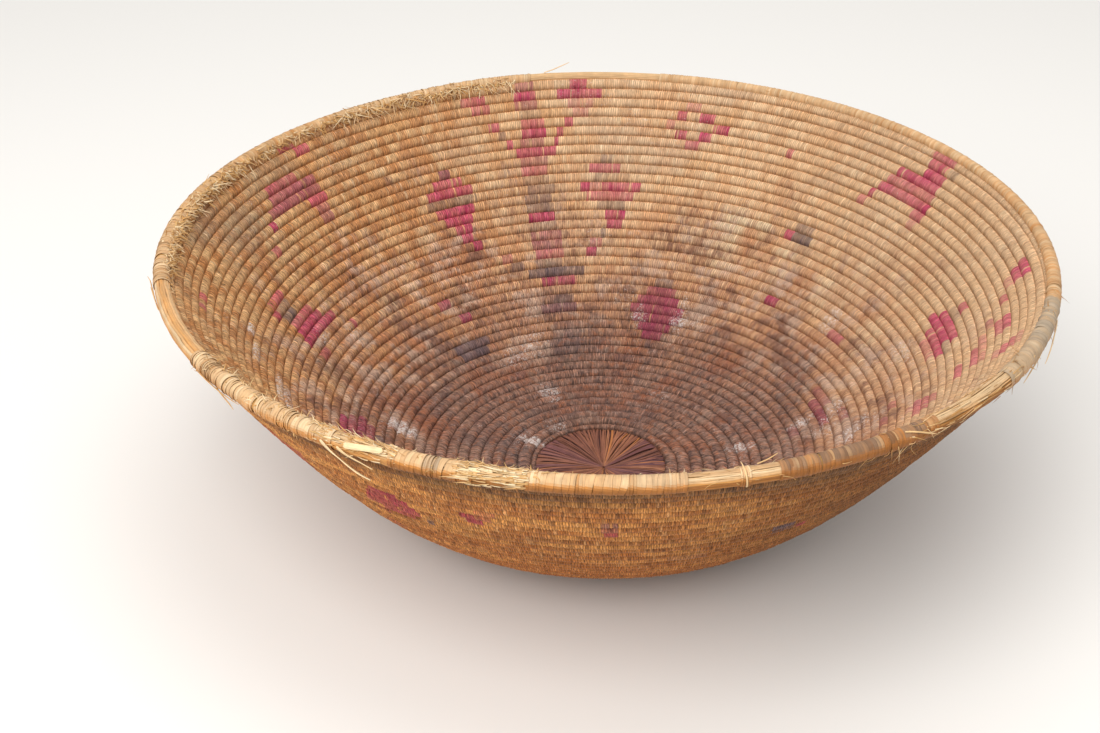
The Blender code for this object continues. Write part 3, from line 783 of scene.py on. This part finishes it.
def coil_pieces():
    """The wrapped coil: ROW_SECTION scaled by the row's width and carried along the spiral.

    It swells in the middle of each stitch, and leans along the coil.
    """
    turns, places = coil_course()
    stitch = np.arange(len(turns)) / 2
    rng = np.random.default_rng(19)
    r, z, lean, width = coil_centres(turns)
    out, onward = directions(COIL_START_ANGLE - FULL_TURN * turns)
    slant = out * np.sin(lean)[:, None] + UP * np.cos(lean)[:, None]
    inward = -out * np.cos(lean)[:, None] + UP * np.sin(lean)[:, None]
    sway = COIL_SWAY * wave(places, 3, SWAY_LENGTH)
    drift = COIL_DRIFT * wave(places, 5, DRIFT_LENGTH)
    centre = out * r[:, None] + UP * z[:, None] + inward * sway[:, None] + slant * drift[:, None]
    width = width * (1 + WIDTH_CHANGE * wave(places, 8, WIDTH_LENGTH))
    in_or_out = np.where(np.arange(len(turns)) % 2 == 0, -1.0, 1.0)
    swell = in_or_out * STITCH_RELIEF * rng.uniform(0.3, 1.5, len(turns))
    across, along = ROW_SECTION.T
    grown = width[:, None] + swell[:, None] / np.hypot(across, along)
    tilt = STITCH_LEAN + LEAN_CHANGE * wave(places, 12, LEAN_LENGTH)
    grid = (
        centre[:, None]
        + slant[:, None] * (grown * along)[..., None]
        + inward[:, None] * (grown * across)[..., None]
        - onward[:, None] * (tilt[:, None] * width[:, None] * along)[..., None]
    )
    dye, tone = stitch_tones(turns[1::2])
    m = len(ROW_SECTION)
    for node, (first, last, parts) in COIL_LENGTHS.items():
        start, end = np.searchsorted(turns, (first, last))
        cuts = np.linspace(start, min(end, len(turns) - 1), parts + 1).astype(int) // 2 * 2
        for i, (low, high) in enumerate(zip(cuts[:-1], cuts[1:])):
            points = grid[low : high + 1].reshape(-1, 3)
            quads, caps = strand_faces(1, high + 1 - low, m)
            uvs = strand_map(stitch[None, low : high + 1], ROW_SECTION_V[:-1], ROW_SECTION_V[1:])
            which = np.repeat(np.arange(low, high) // 2, m)
            tones = {"dye": dye[which], "tone": tone[which]}
            name = f"{node}_rows_{i + 1:02d}"
            piece = mesh_object(name, points, quads, caps, uvs, tones, SEWN)
            finish_piece(piece, "floor_coil" if node == "coil_floor" else "wall_coil", node)


coil_pieces()


# The start of radiating straws. Its knot lies a little off the middle. A bunch is humped, and its stalks
# start a KNOT_GAP from the knot, widen outwards and dip under the first row of the coil.
START_BUNCHES = 24
BUNCH_STRAWS = 12
STALK_POINTS = 12
KNOT_SHIFT = (0.0022, -0.0075)
KNOT_GAP = (0.001, 0.003)
KNOT_LIFT = 0.0018
STALK_OVERLAP = 0.003
STALK_LIFT = 0.0009
STALK_SCATTER = 0.0003
STALK_DIP = 0.0016
STALK_HALF_WIDTH = 0.00024
STALK_WIDENING = 0.00050
BUNCH_HUMP = 0.0009
LAYER_DEPTH = 0.0016
BACKING_DEPTH = 0.0012
BACKING_HALF = 0.0004
BACKING_SIDES = 96


def start_stalks(name, below, seed, nodes):
    """Thin stalks from the knot to the first row, in bunches swept a little to one side.

    A stalk runs straight out at its angle, which bends towards the knot by its bunch's sweep.
    """
    rng = np.random.default_rng(seed)
    count = START_BUNCHES * BUNCH_STRAWS
    bunch = np.arange(count) // BUNCH_STRAWS
    place = (np.arange(count) % BUNCH_STRAWS + 0.5) / BUNCH_STRAWS * 2 - 1
    pitch = FULL_TURN / START_BUNCHES
    angle = (bunch + 0.5 + place * 0.52) * pitch + rng.normal(0, 0.012, count) + below * pitch / 2
    t = np.linspace(0, 1, STALK_POINTS)
    inner = rng.uniform(*KNOT_GAP, count)[:, None]
    reach = inner + (START_RADIUS + STALK_OVERLAP - inner) * t
    sweep = rng.normal(0, 0.10, START_BUNCHES)[bunch] + rng.normal(0, 0.03, count)
    sway = rng.normal(0, 0.03, count)[:, None] * np.sin(t * math.pi)
    bend = angle[:, None] + sweep[:, None] * (1 - t) + sway
    hump = BUNCH_HUMP * (1 - place**2)[:, None] * np.sin(np.clip(t * 1.15, 0, 1) * math.pi) ** 0.7
    scatter = rng.uniform(-STALK_SCATTER, STALK_SCATTER, count)[:, None]
    lift = START_HEIGHT + STALK_LIFT + hump + scatter - STALK_DIP * t**8
    lift = lift + KNOT_LIFT * (1 - t) ** 5 - below * LAYER_DEPTH
    shift = (1 - t) ** 1.3
    x = reach * np.cos(bend) + KNOT_SHIFT[0] * shift
    y = reach * np.sin(bend) + KNOT_SHIFT[1] * shift
    centres = np.stack((x, y, lift), axis=-1)
    tangent = unit(np.gradient(centres, axis=1))
    axes = axes_along(centres, UP + rng.normal(0, 0.3, (count, 1, 1)) * np.cross(UP, tangent))
    wide = rng.uniform(0.8, 1.3, count)[:, None] * (STALK_HALF_WIDTH + STALK_WIDENING * t)
    light = rng.uniform(0.3, 0.68, START_BUNCHES)[bunch]
    mauve = (rng.uniform(0, 1, START_BUNCHES) < 0.4)[bunch] * rng.uniform(0.3, 1.0, count)
    bright = (rng.uniform(0, 1, count) < 0.035) * 0.7
    light = np.clip(rng.normal(light, 0.14), 0, 1)
    tone = np.column_stack((light, mauve * (bright == 0), bright))
    stalks = swept(name, centres, axes, wide, 0.7 * wide, ROUND, DYED_STRAW, tone)
    finish_piece(stalks, "start_straw", *nodes)


def closed_ring(name, grid, finish, tone):
    """A ring from its points, (places round the ring, points round its section), closed both ways."""
    n, m = grid.shape[:2]
    index = np.arange(n * m).reshape(n, m)
    ahead, turned = np.roll(index, -1, axis=0), np.roll(index, -1, axis=1)
    quads = np.stack((index, turned, np.roll(turned, -1, axis=0), ahead), axis=-1).reshape(-1, 4)
    i, j = np.divmod(np.arange(n * m), m)
    corners = [np.stack((i + a, (j + b) / m), axis=-1) for a, b in ((0, 0), (0, 1), (1, 1), (1, 0))]
    uvs = np.stack(corners, axis=1) * (FULL_TURN * RIM_RADIUS / n, 3.0)
    tones = {"tone": np.tile(np.array(tone, float), (len(quads), 1))}
    return mesh_object(name, grid.reshape(-1, 3), quads, np.zeros((0, 4), int), uvs, tones, finish)


def start_backing():
    """The underlayer that closes the start: a thin turned disc, dark as painted shade between the stalks.
    """
    half, edge = BACKING_HALF, START_RADIUS + STALK_OVERLAP
    ring = np.array(((half, half), (edge, half), (edge, -half), (half, -half)))
    out, _ = directions(np.arange(BACKING_SIDES)[:, None] * FULL_TURN / BACKING_SIDES)
    grid = out * ring[:, :1] + UP * (START_HEIGHT - BACKING_DEPTH + ring[:, 1:])
    # Painted shade: the disc takes the darkest dyed straw so the gaps between stalks look dark.
    backing = closed_ring("start_backing", grid, DYED_STRAW, (0.0, 0.3, 0.0))
    finish_piece(backing, "start_straw", "start_knot")


START_NODES = [f"start_straws_{i + 1:02d}" for i in range(START_BUNCHES)]
start_stalks("start_stalks", 0, 23, START_NODES[:12])
start_stalks("start_stalks_below", 1, 29, START_NODES[12:])
start_backing()


# The rim. Its core lies under the wrapping and deeper where it is open, and straws and strips lie on it.
CORE_PLACES, CORE_SIDES = 720, 14
CORE_DEPTH = 0.0005
WORN_DEPTH = 0.0009
STRAW_SCATTER = 0.0002
STRAW_RISE = 0.0004
STRIP_DEPTH = 0.0001
STRIP_TUCK = 0.0007
STRIP_PUFF = 0.00022
STRIP_HALF_THICKNESS = 0.00012
FRAY_LIFT = 0.0002
LOOSE_END_HALF_THICKNESS = 0.00035
LOOSE_STRAW_RADIUS = 0.0006
SLANT = np.array((WALL_RUN, WALL_RISE)) / math.hypot(WALL_RUN, WALL_RISE)


def on_bundle(angle, about, lift):
    """Points on the rim's bundle with their outward normals and the onward direction.

    about runs round the bundle from outward (0) over the top (90 degrees), and lift is the distance off
    the wrapping's outside. The bundle stands on the last row, wherever that row carries it.
    """
    radius, rise = rim_shape(angle)
    out, onward = directions(angle)
    shift = (rise + radius - WRAP_RADIUS)[..., None]
    centre = out * (RIM_RADIUS + SLANT[0] * shift) + UP * (RIM_HEIGHT + SLANT[1] * shift)
    normal = out * np.cos(about)[..., None] + UP * np.sin(about)[..., None]
    return centre + normal * (radius + lift)[..., None], normal, onward


# The open stretches of the rim: from, to, how wide its straws are in millimetres, and how wavy, grey and
# honey-coloured they are.
BARE = (
    (76, 104, 1.9, 0.25, 0, 0), (190, 219, 2.5, 0.4, 0.05, 0.7), (235, 248, 1.2, 1.4, 0.05, 0),
    (251, 264.5, 1.1, 1.3, 0, 0), (264, 290, 1.4, 0.6, 0.05, 0.1), (296, 303, 1.4, 0.4, 0, 0.4),
    (304, 323, 0.9, 0.6, 0.1, 0.3), (327, 332, 1.2, 0.6, 0.1, 0.3), (338, 346, 1.4, 0.4, 0.1, 0.3),
)
BARE_NODES = (
    ("rim_straw_01", "rim_straw_02"), ("rim_straw_03", "rim_straw_04", "rim_straw_05"), ("rim_bundle",),
    ("rim_straw_06",), ("rim_straw_07", "rim_straw_08"), ("rim_bundle",), ("rim_straw_09", "rim_straw_10"),
    ("rim_bundle",), ("rim_bundle",),
)


def rim_core():
    """The bundle's inside, seen only between the straws and turns: a closed ring, deeper where open."""
    angle = np.repeat(np.arange(CORE_PLACES)[:, None] * FULL_TURN / CORE_PLACES, CORE_SIDES, axis=1)
    about = np.repeat(np.arange(CORE_SIDES)[None] * FULL_TURN / CORE_SIDES, CORE_PLACES, axis=0)
    degrees = np.degrees(angle)
    bare = sum(ease(low - 1, low, degrees) * ease(high + 1, high, degrees) for low, high, *_ in BARE)
    points, _, _ = on_bundle(angle, about, -CORE_DEPTH - WORN_DEPTH * np.clip(bare, 0, 1))
    finish_piece(closed_ring("rim_core", points, CORE, (0.5, 0.0, 0.2)), "rim_straw", "rim_bundle")


rim_core()


def patina_and_shade_below(angle, about):
    """Patina and painted warm shade low on the rim's outer side: honey-brown in front, higher at front
    right.
    """
    degrees = np.degrees(angle) % 360
    front = 0.3 + 0.7 * ease(225, 245, degrees) * ease(325, 312, degrees)
    higher = 0.12 * ease(283, 288, degrees) * ease(312, 304, degrees)
    return front * ease(0.62, -0.12, np.sin(about) - higher) * ease(-0.3, 0.4, np.cos(about))


def bare_straws(i):
    """Straws side by side along an open stretch: paths on the bundle's skin, each drifting and swaying."""
    low, high, width, wavy, grey, honey = BARE[i]
    rng = np.random.default_rng(300 + i)
    radius = float(rim_shape(np.radians((low + high) / 2))[0])
    count = round(FULL_TURN * (radius - 0.001) / (width / 1000) * 1.3)
    n = max(8, int((high - low) * 1.7))
    angle = np.radians(np.linspace(low, high, n))[None] + np.zeros((count, 1))
    about = np.arange(count) * FULL_TURN / count + rng.normal(0, 0.05, count)
    run = angle * RIM_RADIUS
    sway = np.stack([wave(run[k], 1000 * i + k, 0.05) for k in range(count)])
    rise = np.stack([wave(run[k] + 9, 2000 * i + k, 0.035) for k in range(count)])
    about = about[:, None] + (0.13 * wavy * sway) * (width / 1.4)
    half = width / 2000 * rng.uniform(0.85, 1.2, count)[:, None] * (1 + 0.12 * rise)
    thick = 0.62 * half
    scatter = rng.uniform(-STRAW_SCATTER, STRAW_SCATTER, count)[:, None]
    lift = -CORE_DEPTH - thick + scatter + STRAW_RISE * wavy * rise
    points, normal, _ = on_bundle(angle, about, lift)
    light = np.clip(rng.normal(0.66, 0.2, count), 0, 1)
    weathered = grey + 0.25 * rng.uniform(0, 1, count) ** 3
    # Low on the rim's outer side, patina and painted warm shade deepen the honey.
    age_and_shade = 0.5 * honey * rng.uniform(0.2, 1.3, count) + patina_and_shade_below(angle[:, 0], about[:, 0])
    tone = np.column_stack((light, weathered * (1 - age_and_shade), age_and_shade))
    name, axes = f"rim_bare_straws_{i + 1}", axes_along(points, normal)
    piece = swept(name, points, axes, half, thick, ROUND, PALE_STRAW, tone)
    finish_piece(piece, "rim_straw", *BARE_NODES[i])


for stretch in range(len(BARE)):
    bare_straws(stretch)

# The wrapping that is left, node by node: from, to, the strip's width and step in millimetres, how loose
# it lies, how light it is, how grey, how honey-coloured, and the share of its turns that is still there.
WRAPS = {
    1: ((-19, 14.6, 2.4, 1.9, 0.8, 0.55, 0.1, 0.45, 1),),
    2: ((14.4, 47.5, 2.1, 1.8, 0.6, 0.6, 0.05, 0.3, 1),),
    3: ((47.4, 79.5, 2.2, 1.8, 0.6, 0.68, 0.05, 0.2, 1),),
    4: ((100.5, 133.5, 2.6, 2, 0.9, 0.62, 0.1, 0.2, 1),),
    5: (
        (133.4, 160, 2.6, 2, 0.7, 0.5, 0, 0.35, 1),
        (160, 168.5, 3.4, 2.6, 0.7, 0.54, 0, 0.3, 1),
    ),
    6: (
        (168.4, 180, 3.4, 2.6, 0.6, 0.54, 0, 0.3, 1),
        (180, 194, 3, 2.2, 0.9, 0.54, 0.1, 0.3, 0.95),
    ),
    7: (
        (213.5, 220, 2.2, 1.7, 1.5, 0.72, 0.05, 0.2, 1),
        (220, 226, 2.8, 2.1, 0.9, 0.8, 0, 0.1, 1),
        (226, 233, 2, 1.6, 1.4, 0.72, 0.05, 0.2, 1),
        (233, 238.5, 3, 2.3, 0.9, 0.82, 0.05, 0.05, 1),
    ),
    8: (
        (245.4, 246.2, 1.8, 1.5, 1, 0.6, 0.1, 0.2, 1),
        (246.2, 249.2, 4.5, 3.4, 0.4, 0.66, 0, 0.1, 1),
        (249.2, 251, 1.7, 1.3, 0.6, 0.4, 0.7, 0, 1),
        (251, 253.2, 5, 4, 0.3, 0.68, 0, 0.1, 1),
        (253.2, 254.7, 2.6, 2, 0.7, 0.4, 0.6, 0.1, 1),
    ),
    9: (
        (260.4, 262.4, 2.4, 1.8, 0.5, 0.7, 0, 0.1, 1),
        (262.4, 265.4, 5.8, 4.4, 0.3, 0.66, 0, 0.1, 1),
        (265.4, 266.4, 2.2, 1.8, 0.6, 0.6, 0.1, 0.4, 1),
        (266.4, 270.6, 6.6, 5, 0.2, 0.66, 0, 0.1, 1),
        (270.6, 271.6, 2.2, 1.8, 0.5, 0.6, 0.1, 0.4, 1),
        (271.6, 274.4, 5.4, 4.2, 0.3, 0.62, 0.2, 0.1, 1),
        (274.4, 276.8, 2.6, 2.2, 0.5, 0.6, 0.25, 0.2, 1),
    ),
    10: (
        (286.6, 289.3, 2.4, 2, 0.5, 0.45, 0.6, 0.3, 1),
        (289.3, 290.7, 2.4, 2, 0.7, 0.5, 0.3, 0.6, 1),
        (290.7, 292, 2.8, 2.2, 0.4, 0.4, 0.8, 0.2, 1),
        (292, 292.7, 2.2, 2, 0.5, 0.5, 0.3, 0.6, 1),
        (292.7, 298.3, 3.6, 2.6, 0.25, 0.4, 0.85, 0.2, 1),
        (298.3, 300, 2.6, 2.2, 0.7, 0.5, 0.3, 0.7, 1),
    ),
    11: (
        (299.8, 301.4, 3, 2.3, 0.9, 0.55, 0.2, 0.6, 1),
        (301.4, 304.6, 3.4, 2.4, 0.5, 0.42, 0.8, 0.2, 1),
        (304.6, 306.4, 2.4, 2.2, 1, 0.6, 0.1, 0.4, 1),
    ),
    12: ((320.5, 329, 4.6, 3.2, 1.3, 0.6, 0.6, 0.05, 1),),
    13: ((329.4, 341.4, 4.2, 3, 1, 0.55, 0.95, 0.05, 1),),
}
WORN_NODES = (10, 11)
TURN_POINTS = 27
TIE = ((282.3, 283.4, 1.3, 1.4, 0.8, 0.8, 0.0, 0.2, 1),)


def wrap_turns(name, rows, seed, finish=PALE_STRIP):
    """Turns of strip round the bundle, each a loop a little over a turn long, leaning on the last one."""
    rng = np.random.default_rng(seed)
    given = []
    for low, high, width, step, loose, light, grey, honey, share in rows:
        count = max(1, round(math.radians(high - low) * RIM_RADIUS / (step / 1000)))
        shares = (np.arange(count) + 0.5 + rng.uniform(-0.2, 0.2, count)) / count
        places = np.radians(low + (high - low) * shares)
        fixed = np.tile((width, step, loose, light, grey, honey), (count, 1))
        kept = rng.uniform(0, 1, count) < share
        given.append(np.column_stack((places, fixed))[kept])
    place, width, step, loose, light, grey, honey = np.concatenate(given).T
    count = len(place)
    q = np.linspace(0, 1, TURN_POINTS)[None]
    begin = np.radians(-120) + rng.normal(0, 0.12, count)
    about = begin[:, None] + FULL_TURN * 1.03 * q
    drift = (step / 1000 / RIM_RADIUS)[:, None] * (q - 0.5)
    skew = rng.normal(0, 0.22, count) * loose * step / 1000 / RIM_RADIUS
    angle = place[:, None] + drift + skew[:, None] * np.sin(about + rng.uniform(0, 6, count)[:, None])
    tuck = -STRIP_TUCK * (ease(0.07, 0.0, q) + ease(0.93, 1.0, q))
    ripple = 0.5 * np.sin(3 * about + place[:, None] * 900)
    puff = STRIP_PUFF * loose[:, None] * (rng.uniform(-0.6, 1.6, count)[:, None] + ripple)
    points, normal, onward = on_bundle(angle, about, -STRIP_DEPTH + tuck + puff)
    tangent = unit(np.gradient(points, axis=1))
    lean = ((0.28 + 0.25 * loose * rng.standard_normal(count)) / width)[:, None, None]
    side = onward * np.cos(lean) + normal * np.sin(lean)
    side = unit(side - tangent * np.sum(side * tangent, axis=-1, keepdims=True))
    up = np.cross(tangent, side)
    up = up * np.sign(np.sum(up * normal, axis=-1, keepdims=True))
    half = (width / 2000 * rng.uniform(0.9, 1.25, count))[:, None]
    half = half * (1 + 0.1 * np.sin(2 * about + place[:, None] * 700))
    middle = (about[:, 1:] + about[:, :-1]) / 2
    spread = 0.3 if finish is WORN_STRIP else 0.13
    light = np.clip(light - 0.06 + rng.normal(0, spread, count), 0, 1)[:, None] + 0 * middle
    age_and_shade = np.clip(0.5 * honey * rng.uniform(-0.2, 1.7, count), 0, 1)[:, None]
    # Low on the rim's outer side, patina and painted warm shade deepen the honey.
    age_and_shade = age_and_shade + patina_and_shade_below(place[:, None], middle)
    greyed = np.clip(grey * rng.uniform(0.6, 1.2, count), 0, 1)[:, None] * (1 - age_and_shade)
    tone = np.stack((light, greyed, age_and_shade), axis=-1)
    thick = np.full((count, TURN_POINTS), STRIP_HALF_THICKNESS)
    return swept(name, points, (side, up), half, thick, FLAT, finish, tone)


for number, rows in WRAPS.items():
    finish = WORN_STRIP if number in WORN_NODES else PALE_STRIP
    turned = wrap_turns(f"rim_wrapping_{number:02d}", rows, 500 + number, finish)
    finish_piece(turned, "rim_strip", f"rim_wrap_{number:02d}")
finish_piece(wrap_turns("rim_tie_strip", TIE, 777), "rim_strip", "rim_tie")

# Frayed fibres: from, to, how many, where round the bundle in degrees and its spread, their length and
# width in millimetres, how far they run on round the rim (below 0: only back), stand off it and hang down
# the wall, how curly and how light they are.
FRAYS = {
    "rim_fray_back": (
        (112, 136, 320, 172, 34, 8, 1.1, 1.3, 0.35, 0.6, 0.4, 0.7),
        (136, 158, 240, 172, 32, 4.2, 1.1, 1, 0.4, 0.7, 0.7, 0.65),
        (156, 190, 800, 165, 34, 4.2, 1.4, 1, 0.45, 0.7, 0.8, 0.65),
        (103, 114, 110, 185, 28, 8, 1.1, 1.2, 0.4, 0.8, 0.6, 0.8),
        (184, 198, 60, 165, 30, 4, 0.7, 0.9, 0.4, 0.3, 0.7, 0.5),
    ),
    "rim_fray_front": (
        (236, 246.5, 150, 76, 38, 5, 1.1, -1.4, 0.22, 0.1, 0.3, 0.7),
        (214, 238, 170, 105, 60, 3.2, 0.8, 1, 0.35, 0.2, 0.8, 0.65),
        (246, 254, 40, 120, 60, 3, 0.6, 1, 0.3, 0.2, 0.6, 0.6),
        (253.6, 260.8, 170, 50, 42, 8, 1.3, -1.8, 0.05, 0.1, 0.1, 0.75),
        (253.6, 262, 60, 105, 30, 4, 0.9, 1.3, 0.25, 0.1, 0.4, 0.65),
        (262, 277, 26, 140, 25, 2.2, 0.5, 1, 0.4, 0.2, 0.5, 0.6),
        (277, 288, 24, 110, 60, 5, 0.5, 1.5, 0.15, 0.1, 0.3, 0.6),
        (288, 300, 10, -60, 30, 5, 0.5, 0.8, 0.3, 0.7, 0.6, 0.5),
    ),
    "rim_fray_right": (
        (299, 306, 26, 20, 60, 6, 0.8, 1, 0.25, 0.3, 0.6, 0.5),
        (304, 323, 70, 70, 70, 11, 0.8, 2.5, 0.04, 0.05, 0.12, 0.5),
        (322, 345, 70, 20, 60, 5, 0.7, 1.1, 0.25, 0.4, 0.6, 0.3),
        (-15, 75, 60, 190, 36, 3, 0.5, 0.8, 0.3, 0.5, 0.6, 0.5),
    ),
}


def frayed_fibres(name, rows, seed):
    """Short bent fibres: each leaves the rim at its own place and curls, along a cubic, as it runs out."""
    rng = np.random.default_rng(seed)
    parts = []
    for low, high, count, about, spread, length, width, on, off, down, curl, light in rows:
        way = rng.uniform(0.3, 1, count) if on < 0 else rng.uniform(-1, 1, count)
        parts.append(np.column_stack((
            rng.uniform(low, high, count), rng.normal(about, spread, count),
            length * np.clip(rng.lognormal(0, 0.35, count), 0.4, 1.9) / 1000,
            width / 2000 * rng.uniform(0.6, 1.4, count), on * way,
            off * rng.uniform(0.2, 1.3, count), down * rng.uniform(0.2, 1.3, count), np.full(count, curl),
            light + rng.uniform(-0.45, 0.45, count),
        )))
    columns = np.concatenate(parts).T
    angle, about, length, half, on, off, down, curl, light = (column[:, None] for column in columns)
    count = len(angle)
    lift = np.full(angle.shape, FRAY_LIFT)
    start, normal, onward = on_bundle(np.radians(angle), np.radians(about), lift)
    out, _ = directions(np.radians(angle))
    fall = -(out * SLANT[0] + UP * SLANT[1])
    heading = unit(onward * on[..., None] + normal * off[..., None] + fall * down[..., None])
    bend = np.clip(rng.normal(0, 0.8, (count, 1, 3)), -1.4, 1.4) * curl[..., None]
    twist = np.clip(rng.normal(0, 0.7, (count, 1, 3)), -1.2, 1.2) * curl[..., None]
    t = np.linspace(0, 1, 8)[None, :, None]
    points = start + length[..., None] * (heading * t + bend * t**2 * 0.7 + twist * t**3 * 0.5)
    axes = axes_along(points, normal + 0.3 * onward)
    wide = half * (1 - 0.8 * t[..., 0] ** 2)
    greyed = 0.2 * rng.uniform(0, 1, count) ** 2
    age_and_shade = 0.4 * rng.uniform(0, 1, count) ** 2
    tone = np.column_stack((np.clip(light[:, 0], 0, 1), greyed, age_and_shade))
    piece = swept(name, points, axes, wide, wide * 0.5, LEAF, FRAYED, tone)
    finish_piece(piece, "rim_straw", "rim_bundle")


for seed, (name, rows) in enumerate(FRAYS.items()):
    frayed_fibres(name, rows, 61 + seed)

# Ends that have come away: the angle round the rim, the degrees round the bundle and how many millimetres
# off it, at points along each, how wide and light a strip is, and from where along it its tip narrows.
LOOSE = {
    "broken_strip": (
        ((240.0, 24, 0.1), (241, 31, 0.7), (242.4, 40, 1.1), (243.8, 48, 1.1), (244.9, 52, 0.9)),
        4.0, 0.82, 0.92,
    ),
    "loose_strip_long": (
        (
            (237.0, 12, 0.1), (238.0, -20, 0.8), (239.4, -58, 3.6), (240.7, -71, 7.8), (241.9, -79, 11.4),
            (242.9, -84, 14),
        ),
        2.6, 0.85, 0.7,
    ),
    "loose_strip_short": (
        ((239.2, 5, 0.1), (240.4, -28, 0.8), (242.2, -44, 2.2), (243.7, -52, 4.0)), 2.4, 0.75, 0.7,
    ),
}
LOOSE_STRAWS = (
    ((197.5, -24, 0.3), (194, -26, 1.2), (191, -24, 3.0), (189.5, -22, 5.5)),
    ((199, -36, 0.3), (196, -38, 1.4), (193.5, -36, 2.8), (192, -34, 4.0)),
    ((214.5, -46, 0.4), (218, -50, 1.0), (221, -52, 1.3), (224, -50, 0.8)),
    ((219, -55, 0.4), (220, -68, 3.0), (221.3, -76, 6.0), (222, -80, 9.0)),
    ((284.3, 112, 0.2), (285.6, 118, 1.8), (286.9, 122, 4.6)),
    ((301.6, 66, 0.3), (303.2, 38, 0.9), (304.8, 8, 1.2), (305.6, -6, 1.6)),
    ((283.0, -80, -0.2), (282.8, 0, 0.4), (282.7, 80, 0.5), (282.6, 118, 3.0)),
    ((98.3, 90, 0.1), (96.8, 92, 2.8), (95.2, 94, 7.0), (94.1, 95, 10.0)),
    ((338, -20, 0.2), (334, -26, 2.2), (330.5, -34, 5.0), (329, -44, 7.0)),
    ((330, -40, 0.2), (326, -46, 2.0), (323.4, -54, 4.5)),
)
ROUTE_POINTS = 32


def smooth_route(route):
    """A route's three columns, joined by lines and rounded off."""
    kernel = np.hanning(9) / np.hanning(9).sum()
    t = np.linspace(0, len(route) - 1, ROUTE_POINTS)
    columns = [np.interp(t, np.arange(len(route)), each) for each in np.array(route, float).T]
    return [np.convolve(np.pad(each, 4, "edge"), kernel, "valid") for each in columns]


def loose_paths(routes):
    """Smooth paths through each route's points, with the strand lying flat to the bundle."""
    angle, about, lift = np.array([smooth_route(route) for route in routes]).transpose(1, 0, 2)
    points, normal, _ = on_bundle(np.radians(angle), np.radians(about), FRAY_LIFT + lift / 1000)
    return points, axes_along(points, normal), np.linspace(0, 1, ROUTE_POINTS)[None]


def loose_end(node, route, width, light, tip):
    """A strip that leaves the rim, narrowing over its last part, from tip on."""
    points, axes, t = loose_paths((route,))
    half = width / 2000 * (1 - 0.75 * ease(tip, 1.0, t)) * ease(-0.1, 0.12, t)
    tone = np.array([[light, 0.0, 0.0]])
    thick = np.full(t.shape, LOOSE_END_HALF_THICKNESS)
    piece = swept(f"{node}_end", points, axes, half, thick, FLAT, FRAYED, tone)
    finish_piece(piece, "rim_strip", node)


def loose_straws():
    """Straws that stand off the rim."""
    points, axes, t = loose_paths(LOOSE_STRAWS)
    count = len(points)
    half = LOOSE_STRAW_RADIUS * (1 - 0.7 * t**4) + np.zeros((count, 1))
    tone = np.column_stack((np.linspace(0.5, 0.9, count), np.zeros(count), np.full(count, 0.2)))
    piece = swept("rim_loose_straws", points, axes, half, 0.7 * half, ROUND, FRAYED, tone)
    finish_piece(piece, "rim_straw", "rim_bundle")


for node, ends in LOOSE.items():
    loose_end(node, *ends)
loose_straws()


# The studio.


def place_in_studio(data, place, turn):
    """A lamp or a camera at its place in the studio."""
    made = bpy.data.objects.new(data.name, data)
    made.location = place
    made.rotation_euler = turn
    bpy.context.scene.collection.objects.link(made)
    return made


def studio():
    """A pale floor, a soft white sky and two broad soft lamps."""
    scene = bpy.context.scene
    scene.view_settings.view_transform = "Standard"
    bpy.ops.mesh.primitive_plane_add(size=FLOOR_SIZE, location=(0, 0, 0))
    floor = bpy.context.active_object
    floor.name = "studio_floor"
    made, net, shader = new_finish("studio_floor")
    net.feed(shader["Base Color"], FLOOR_COLOUR)
    net.feed(shader["Roughness"], FLOOR_ROUGHNESS)
    floor.data.materials.append(made)
    world = bpy.data.worlds.new("studio_sky")
    scene.world = world
    world.use_nodes = True
    sky = world.node_tree.nodes["Background"].inputs
    sky["Color"].default_value = (1, 1, 1, 1)
    sky["Strength"].default_value = SKY_LEVEL
    for name, place, size, energy in LAMPS:
        lamp = bpy.data.lights.new(name, "AREA")
        lamp.shape = "DISK"
        lamp.size = size
        lamp.energy = energy
        x, y, z = place
        place_in_studio(lamp, place, (0, math.atan2(math.hypot(x, y), z), math.atan2(y, x)))
    camera = bpy.data.cameras.new("camera")
    camera.sensor_width = SENSOR_WIDTH
    camera.lens = CAMERA_LENS
    scene.camera = place_in_studio(camera, CAMERA_PLACE, (CAMERA_TILT, 0, 0))


studio()
